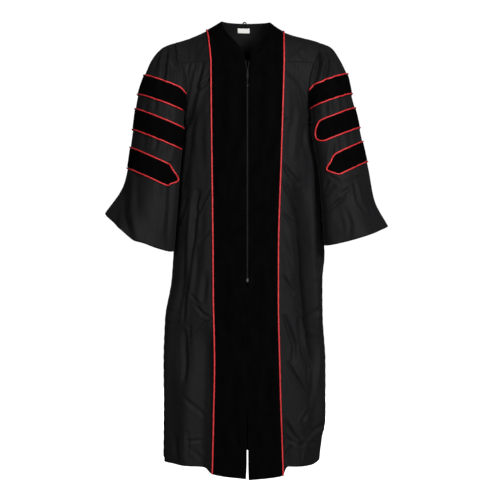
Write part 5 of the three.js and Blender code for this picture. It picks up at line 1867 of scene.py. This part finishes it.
    def column_at(self, degrees: Array) -> Array:
        """Column numbers, with fractions, at angles round the sleeve."""
        return (degrees + 180) / 360 * self.columns

    def on_bar(self, grid: Grid, bar: BarRow, degrees: Array, share: Array) -> tuple[Array, Array]:
        """Points of the sleeve under a bar, with their normals.

        Args:
            grid: The sleeve's grid.
            bar: The bar.
            degrees: Angles round the sleeve.
            share: Shares of the way down the bar.

        Returns:
            The points, and the normals there.
        """
        degrees, share = np.broadcast_arrays(degrees, share)
        column = self.column_at(degrees)
        offset = (0.5 - share) * bar.straight_down(self.bar_height)

        def missing(row: Array) -> Array:
            """How far below the bar's line the sleeve's rows are."""
            return offset - bar.above(grid.sample(row, column)[0])

        low = np.full(degrees.shape, self.seam_row)
        row = root_of(missing, low, low * 0 + self.rows + 1)
        return grid.sample(row, column)

    def seam_share(self, grid: Grid, bar: BarRow, degrees: Array) -> Array:
        """Shares of the way down a bar at which it comes out of the armhole seam."""
        place = grid.sample(np.full(degrees.shape, self.seam_row), self.column_at(degrees))[0]
        return 0.5 - bar.above(place) / bar.straight_down(self.bar_height)

    def bar_edges(self, grid: Grid, bar: BarRow, degrees: Array) -> tuple[Array, Array]:
        """A bar's upper and lower edges, which meet at its points.

        Args:
            grid: The sleeve's grid.
            bar: The bar.
            degrees: Angles round the sleeve.

        Returns:
            Shares of the way down the bar of its upper edge, and of its lower edge.
        """
        point, span, roundness = bar.tip.value
        to_front = np.clip((bar.front - degrees) / span, 0, 1)
        to_front = (1 - (1 - to_front) ** roundness) ** (1 / roundness)
        to_back = np.clip((bar.back + degrees) / Tip.MID.value[1], 0, 1)
        tip = np.where(to_front < to_back, point, Tip.MID.value[0])
        open_ = np.minimum(to_front, to_back)
        top, foot = tip * (1 - open_), lerp(tip, 1, open_)
        if bar.tip is Tip.SEAM:
            covered = self.seam_share(grid, bar, degrees)
            top = np.maximum(top, self.seam_droop * smooth(covered, *self.droop_from))
            top = np.maximum(top, np.minimum(covered, foot - self.least_end))
        return top, foot

    def build_bar(self, grid: Grid, bar: BarRow) -> None:
        """Makes a bar and the piping round it.

        Args:
            grid: The sleeve's grid.
            bar: The bar.
        """
        name = f"{bar.side}_{bar.number}"
        lift = CLOTH_WALL / 2 + SEAM + bar.lift
        inset = self.bar_inset * (PIPING_DIAMETER / 2 + SEAM) / self.bar_height
        low = -bar.back + self.tip_inset * inset * Tip.MID.value[1]
        high = bar.front - self.tip_inset * inset * bar.tip.value[1]
        degrees = np.linspace(low, high, self.bar_columns + 1)[None, :]
        top, foot = self.bar_edges(grid, bar, degrees)
        half = np.maximum((foot - top) / 2 - inset, self.least_half)
        share = np.linspace(-1, 1, self.bar_rows + 1)[:, None]
        share = np.sign(share) * np.abs(share) ** self.bar_crowding
        points, normals = self.on_bar(grid, bar, degrees, (top + foot) / 2 + half * share)
        swell = velvet_swell(half * self.bar_height * (1 - np.abs(share)))
        laid = Grid(points + normals * (lift + swell)[..., None], facing=bar.side.value)
        ROOM.sew(
            f"sleeve_bar_{name}", f"bar_{name}", laid, VELVET_WALL, VELVET
        )
        self.build_bar_piping(grid, bar, name, lift)

    def build_bar_piping(self, grid: Grid, bar: BarRow, name: str, lift: float) -> None:
        """Makes the cord round a bar, whose two ends dive into the seam if the bar runs into it.

        Args:
            grid: The sleeve's grid.
            bar: The bar.
            name: The bar's side and number.
            lift: Height of the bar's underside above the middle of the sleeve's cloth.
        """
        angles = np.linspace(-bar.back, bar.front, 2 * self.bar_columns + 1)
        open_end = bar.tip in (Tip.SEAM, Tip.EDGE)
        if open_end:
            covered = self.seam_share(grid, bar, angles) if bar.tip is Tip.SEAM else angles * 0
            covered = np.where(angles > bar.front - bar.tip.value[1], 1, covered)
            upper, lower = angles[covered <= self.seam_droop][::-1], angles[covered <= self.covered_end][1:]
        else:
            upper, lower = angles, angles[-2:0:-1]
        parts = [
            self.on_bar(grid, bar, part, self.bar_edges(grid, bar, part)[edge])
            for edge, part in enumerate((upper, lower))
        ]
        path, up = (np.concatenate(tables) for tables in zip(*parts))
        ends = slice(1, -1) if open_end else slice(None)
        for _ in range(self.cord_passes):
            path[ends] = (path / 2 + (np.roll(path, 1, axis=0) + np.roll(path, -1, axis=0)) / 4)[ends]
            up[ends] = unit(up / 2 + (np.roll(up, 1, axis=0) + np.roll(up, -1, axis=0)) / 4)[ends]
        rise = np.full(len(path), lift + PIPING_DIAMETER / 2)
        if open_end:
            along = run_length(path)
            rise = rise - groove(np.minimum(along, along[-1] - along), self.dive_depth, self.dive_length)
        path = path + up * rise[:, None]
        closed = not open_end
        cord = ROOM.tube_piece(f"sleeve_bar_piping_{name}", path, up, PIPING_DIAMETER / 2, closed)
        ROOM.hand_over(cord, PIPING, f"bar_piping_{name}")

    def build(self) -> None:
        """Makes both sleeves and what lies on them."""
        for side in Side:
            grid = self.grid(side)
            ROOM.sew(
                f"bell_sleeve_{side}", f"sleeve_{side}", grid, CLOTH_WALL, CLOTH,
            )
            for bar in (row for row in BARS if row.side is side):
                self.build_bar(grid, bar)


@dataclass
class Facings:
    """The velvet facings, up each front and round the back neck, with their piping."""

    columns: int = 22
    cut: Cut = Cut((0.105, 1.50), Held.HUNG, 0.134)

    def strip(self, side: Side, front: Grid, yoke: Grid, back: Grid) -> tuple[Array, Array]:
        """The cloth under a facing: points and normals, in rows from the hem to the centre back.

        Args:
            side: Side of the gown.
            front: The front's grid.
            yoke: The front yoke's grid.
            back: The back yoke's grid.

        Returns:
            The points and the normals.
        """
        count = VELVET_COLUMNS + 1
        middle = back.points.shape[0] // 2
        rows, normals = [], []
        for table, target in (("points", rows), ("normals", normals)):
            fan = getattr(back, table)[:, :count]
            half = fan[1 : middle + 1] if side is R else fan[middle:-1][::-1]
            target += [getattr(front, table)[::-1, :count], getattr(yoke, table)[1:, :count], half]
        points = np.concatenate(rows, axis=0)
        points[-1, :, 0] += side.value * SEAM / 2
        return points, unit(np.concatenate(normals, axis=0))

    def build(self, fronts: dict[Side, Grid], yokes: dict[Side, Grid], back: Grid) -> None:
        """Makes both facings and their piping.

        Args:
            fronts: The fronts' grids.
            yokes: The front yokes' grids.
            back: The back yoke's grid.
        """
        lift = CLOTH_WALL / 2 + SEAM + FACING_LIFT
        share = (1 - np.cos(np.linspace(0, math.pi, self.columns + 1))) / 2
        for side in Side:
            points, normals = self.strip(side, fronts[side], yokes[side], back)
            along = np.stack([run_length(row) for row in points])
            stops = share[None, :] * (along[:, -1:] - PIPING_DIAMETER / 2 - SEAM)
            laid, up = (np.stack(list(map(at_lengths, stops, along, table))) for table in (points, normals))
            swell = velvet_swell(np.minimum(stops, stops[:, -1:] - stops))
            grid = Grid(laid + unit(up) * (lift + swell)[..., None], facing=side.value)
            ROOM.sew(
                f"velvet_facing_{side}", f"velvet_{side}", grid, VELVET_WALL, VELVET,
            )
            path = points[:, -1] + normals[:, -1] * (lift + PIPING_DIAMETER / 2)
            cord = ROOM.tube_piece(f"facing_piping_{side}", path, normals[:, -1], PIPING_DIAMETER / 2, False)
            ROOM.hand_over(cord, PIPING, f"piping_{side}")


@dataclass
class Zip:
    """The zip down the centre front: tapes, coils, slider, pull tab and stop."""

    bottom: float = 733
    parts: float = 126
    tape_width: float = 12
    tape: float = 0.8
    tape_columns: int = 6
    tape_cut: Cut = Cut((0.0105, 0.625), Held.STRETCHED)
    tooth: float = 2.2
    tooth_lap: float = 1.1
    tooth_share: float = 0.46
    tooth_round: float = 0.32
    tooth_clear: float = 0.05
    end_clear: float = 1.0
    teeth: float = 2.0
    pitch: float = 2.0
    flat_within: float = math.radians(1)
    sharp_beyond: float = math.radians(40)
    metal_round: float = 0.16

    def edge_line(self, front: Grid) -> tuple[Array, Array, Array]:
        """A front's centre edge beside the zip.

        Args:
            front: The front's grid.

        Returns:
            The edge's points, directions aside and normals.
        """
        edge, beside, normal = front.points[:, 0], front.points[:, 1], front.normals[:, 0]
        keep = edge[:, 2] >= -self.bottom
        return edge[keep], unit(beside - edge)[keep], normal[keep]

    def build(self, fronts: dict[Side, Grid]) -> None:
        """Makes the zip's pieces.

        Args:
            fronts: The fronts' grids.
        """
        lift = -CLOTH_WALL / 2 - SEAM - self.tape / 2
        for side in Side:
            edge, aside, normal = self.edge_line(fronts[side])
            gap = float(FORM.centre[side].at(self.parts))
            reach = np.linspace(self.tooth + 2 * SEAM, self.tape_width, self.tape_columns) - gap
            points = edge[:, None] + aside[:, None] * reach[None, :, None] + normal[:, None] * lift
            ROOM.sew(
                f"zip_tape_cloth_{side}", f"zip_tape_{side}", Grid(points, facing=-side.value),
                self.tape, TAPE,
            )
            self.build_coil(side, edge, aside, normal, gap, lift)
        self.build_hardware()

    def build_coil(
        self, side: Side, edge: Array, aside: Array, normal: Array, gap: float, lift: float
    ) -> None:
        """Makes the teeth of one side, set half a pitch off the other side's.

        Args:
            side: Side of the gown.
            edge: Points of the front's edge.
            aside: Directions from the zip's middle to the side.
            normal: Directions out of the cloth.
            gap: Distance of the edge from the zip's middle.
            lift: Height of the tape's middle above the cloth's.
        """
        length = run_length(edge)
        start = self.end_clear + (self.pitch / 2 if side is L else 0)
        places = np.arange(start, length[-1] - self.end_clear, self.pitch)
        middles, sides, outs = (at_lengths(places, length, table) for table in (edge, aside, normal))
        sides, outs = unit(sides), unit(outs)
        centres = middles + sides * (self.tooth / 2 + self.tooth_clear - gap) + outs * lift
        mesh = bpy.data.meshes.new(f"zip_coil_{side}")
        with editing(mesh) as bm:
            for centre, across, out in zip(centres, sides, outs):
                up = np.cross(out, across) * self.pitch * self.tooth_share
                axes = np.stack([across * (self.tooth + self.tooth_lap), up, out * self.teeth], axis=1)
                turn = Matrix([[*axes[k] * MM, centre[k] * MM] for k in range(3)] + [[0, 0, 0, 1]])
                bmesh.ops.create_cube(bm, size=1.0, matrix=turn)
            bmesh.ops.bevel(
                bm, geom=list(bm.edges), offset=self.tooth_round * MM, affect="EDGES", segments=1,
                profile=0.5, material=-1,
            )
            bmesh.ops.recalc_face_normals(bm, faces=bm.faces)
        ROOM.hand_over(ROOM.place(mesh), COIL, f"zip_teeth_{side}")

    def build_hardware(self) -> None:
        """Makes the slider, the pull tab and the stop from merged copies with softened edges."""
        for node, name, finish, body in (
            ("zip_slider", "zip_slider_body", ZIP_METAL, "gown"),
            ("zip_pull_tab", "zip_pull", ZIP_METAL, "pull_tab"),
            ("zip_stop", "zip_bottom_stop", STOP_METAL, "gown"),
        ):
            mesh = bpy.data.meshes.new(name)
            with editing(mesh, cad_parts[node].data) as bm:
                bmesh.ops.remove_doubles(bm, verts=bm.verts, dist=MERGE)
                bmesh.ops.dissolve_limit(bm, angle_limit=self.flat_within, verts=bm.verts, edges=bm.edges)
                sharp = [e for e in bm.edges if e.is_manifold and e.calc_face_angle() > self.sharp_beyond]
                bmesh.ops.bevel(
                    bm, geom=sharp, offset=self.metal_round * MM, affect="EDGES", segments=2, profile=0.5,
                    material=-1, clamp_overlap=True,
                )
            ROOM.hand_over(ROOM.place(mesh), finish, node, body)


@dataclass
class NeckTrim:
    """The hanging loop and the bare label inside the back neck."""

    loop_x: float = -9
    loop_width: float = 9.5
    loop_above: float = 4.2
    loop_sunk: float = 9
    loop_cord: float = 3.6
    loop_inset: float = 1.6
    arch_points: int = 25
    leg_points: int = 8
    leg_top: float = -0.6
    label_x: float = -12
    label_top: float = 21
    label_size: Pair = (35.5, 13)
    label_wall: float = 0.6
    label_columns: int = 21
    label_rows: int = 15
    label_within: int = 12

    def build_loop(self, yokes: Yokes) -> None:
        """Makes the loop: an arch on two legs that go down inside the neck.

        Args:
            yokes: The yokes' sizes.
        """
        y = yokes.neck_back_depth - self.loop_inset - CLOTH_WALL / 2 - SEAM - self.loop_cord / 2
        top = yokes.neck_back_height
        turn = math.pi * (1 - np.linspace(0, 1, self.arch_points))
        across, rise = self.loop_x + self.loop_width / 2 * np.cos(turn), self.loop_above * np.sin(turn)
        legs = np.linspace(-self.loop_sunk, self.leg_top, self.leg_points)
        x = np.concatenate([np.full(legs.shape, across[0]), across, np.full(legs.shape, across[-1])])
        z = top + np.concatenate([legs, rise, legs[::-1]])
        path = np.stack([x, np.full(x.shape, y), z], axis=1)
        up = np.tile([0.0, -1.0, 0.0], (len(path), 1))
        loop = ROOM.tube_piece("hanging_loop", path, up, self.loop_cord / 2, closed=False)
        ROOM.hand_over(loop, CLOTH, "neck_loop")

    def build_label(self, back: Grid) -> None:
        """Makes the label.

        Args:
            back: The back yoke's grid.
        """
        width, height = self.label_size
        across = self.label_x + np.linspace(-width / 2, width / 2, self.label_columns)[:, None]
        rise = self.label_top - np.linspace(0, height, self.label_rows)[None, :]
        points, normals = self.inside_neck(back, *np.broadcast_arrays(across, rise))
        points = points - normals * (CLOTH_WALL / 2 + SEAM + self.label_wall / 2)
        ROOM.sew("neck_label", "label", Grid(points, facing=-1), self.label_wall, LABEL)

    def inside_neck(self, back: Grid, x: Array, z: Array) -> tuple[Array, Array]:
        """Points and normals of the back yoke near its neck, at distances across and heights.

        Args:
            back: The back yoke's grid.
            x: Distances from the centre plane.
            z: Heights above the shoulder line.

        Returns:
            The points, and the normals there.
        """
        middle, quarter = back.points.shape[0] // 2, back.points.shape[0] // 4
        low, deep = np.zeros(x.shape), np.full(x.shape, float(VELVET_COLUMNS + self.label_within))

        def row_at(column: Array) -> Array:
            """Rows that are as far across."""
            start, end = np.full(x.shape, float(middle - quarter)), np.full(x.shape, float(middle + quarter))
            return root_of(lambda row: back.sample(row, column)[0][..., 0] - x, start, end)

        column = root_of(lambda c: z - back.sample(row_at(c), c)[0][..., 2], low, deep)
        return back.sample(row_at(column), column)


class LightRow(NamedTuple):
    """A soft square light: its place, what it faces, its size in metres and its power in watts."""

    name: str
    place: tuple[float, float, float]
    aim: tuple[float, float, float]
    size: float
    power: float


LIGHTS = (
    LightRow("key", (1.6, -3.0, 0.75), (0.0, 0.0, -0.65), 0.8, 96),
    LightRow("fill", (-1.3, -3.9, 0.0), (-0.15, 0.0, -0.75), 1.2, 54),
    LightRow("low", (1.0, -3.4, -1.0), (0.0, 0.0, -0.95), 1.2, 16),
    LightRow("back", (0.2, 4.2, 0.0), (0.0, 0.0, -0.6), 1.2, 90),
)


@dataclass
class Studio:
    """White room, soft lights and the camera."""

    camera_place: tuple[float, float, float] = (0.007, -4.2, -0.636)
    lens: float = 103.6
    sensor: float = 36.0
    clip_end: float = 200
    floor_down: float = 1.45
    floor_radius: float = 30.0
    floor_sides: int = 96
    floor_tone: tuple = (0.86, 0.86, 0.86, 1)
    white: tuple = (1, 1, 1, 1)
    white_strength: float = 1.05
    room_tone: tuple = (0.9, 0.93, 1.0, 1)
    room_strength: float = 0.045

    def build(self) -> None:
        """Makes the floor, the surroundings, the lights and the camera."""
        scene = bpy.context.scene
        scene.view_settings.view_transform = "Standard"
        self._floor()
        scene.world = bpy.data.worlds.new("studio")
        self._surroundings(scene.world)
        for row in LIGHTS:
            self._light(row)
        camera = bpy.data.objects.new("camera", bpy.data.cameras.new("camera"))
        camera.data.lens = self.lens
        camera.data.sensor_width = self.sensor
        camera.data.clip_end = self.clip_end
        camera.location = self.camera_place
        camera.rotation_euler = (math.radians(90), 0, 0)
        scene.collection.objects.link(camera)
        scene.camera = camera

    def _floor(self) -> None:
        """A pale floor that glows a little, so that it stays even."""
        mesh = bpy.data.meshes.new("floor")
        with editing(mesh) as bm:
            bmesh.ops.create_circle(bm, cap_ends=True, segments=self.floor_sides, radius=self.floor_radius)
            bmesh.ops.translate(bm, verts=bm.verts, vec=Vector((0, 0, -self.floor_down)))
        floor = ROOM.place(mesh)
        pale = bpy.data.materials.new("pale_floor")
        Graph(pale).set(
            Base_Color=self.floor_tone, Roughness=0.9, Emission_Color=self.white, Emission_Strength=1.0
        )
        mesh.materials.append(pale)
        floor.visible_diffuse = floor.visible_glossy = False

    def _surroundings(self, world: bpy.types.World) -> None:
        """White behind the gown, and a dim grey room for its light.

        Args:
            world: The scene's new world.
        """
        graph = Graph(world)
        graph.set(Color=self.room_tone, Strength=self.room_strength)
        dim = Wire(graph, graph.shader.outputs[0])
        bright = {"Color": self.white, "Strength": self.white_strength}
        white = graph.node("ShaderNodeBackground", inputs=bright)
        seen = graph.node("ShaderNodeLightPath", output="Is Camera Ray")
        mixed = graph.node("ShaderNodeMixShader", inputs={0: seen, 1: dim, 2: white})
        graph.feed(graph.tree.nodes["World Output"].inputs[0], mixed)

    @staticmethod
    def _light(row: LightRow) -> None:
        """Makes a light.

        Args:
            row: Its row of the table.
        """
        data = bpy.data.lights.new(row.name, "AREA")
        data.size, data.energy = row.size, row.power
        light = bpy.data.objects.new(row.name, data)
        light.location = row.place
        light.rotation_euler = (Vector(row.aim) - Vector(row.place)).to_track_quat("-Z", "Y").to_euler()
        bpy.context.scene.collection.objects.link(light)


def main() -> None:
    """Builds the gown on the frame, piece by piece."""
    logging.basicConfig(level=logging.INFO, format="%(name)s: %(message)s")
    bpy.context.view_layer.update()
    Studio().build()
    yokes = Yokes()
    fronts = BodyPanels().build()
    front_yokes, back_yoke = yokes.build()
    Sleeves().build()
    Facings().build(fronts, front_yokes, back_yoke)
    Zip().build(fronts)
    neck = NeckTrim()
    neck.build_loop(yokes)
    neck.build_label(back_yoke)
    bpy.context.view_layer.update()


if __name__ == "__main__":
    main()
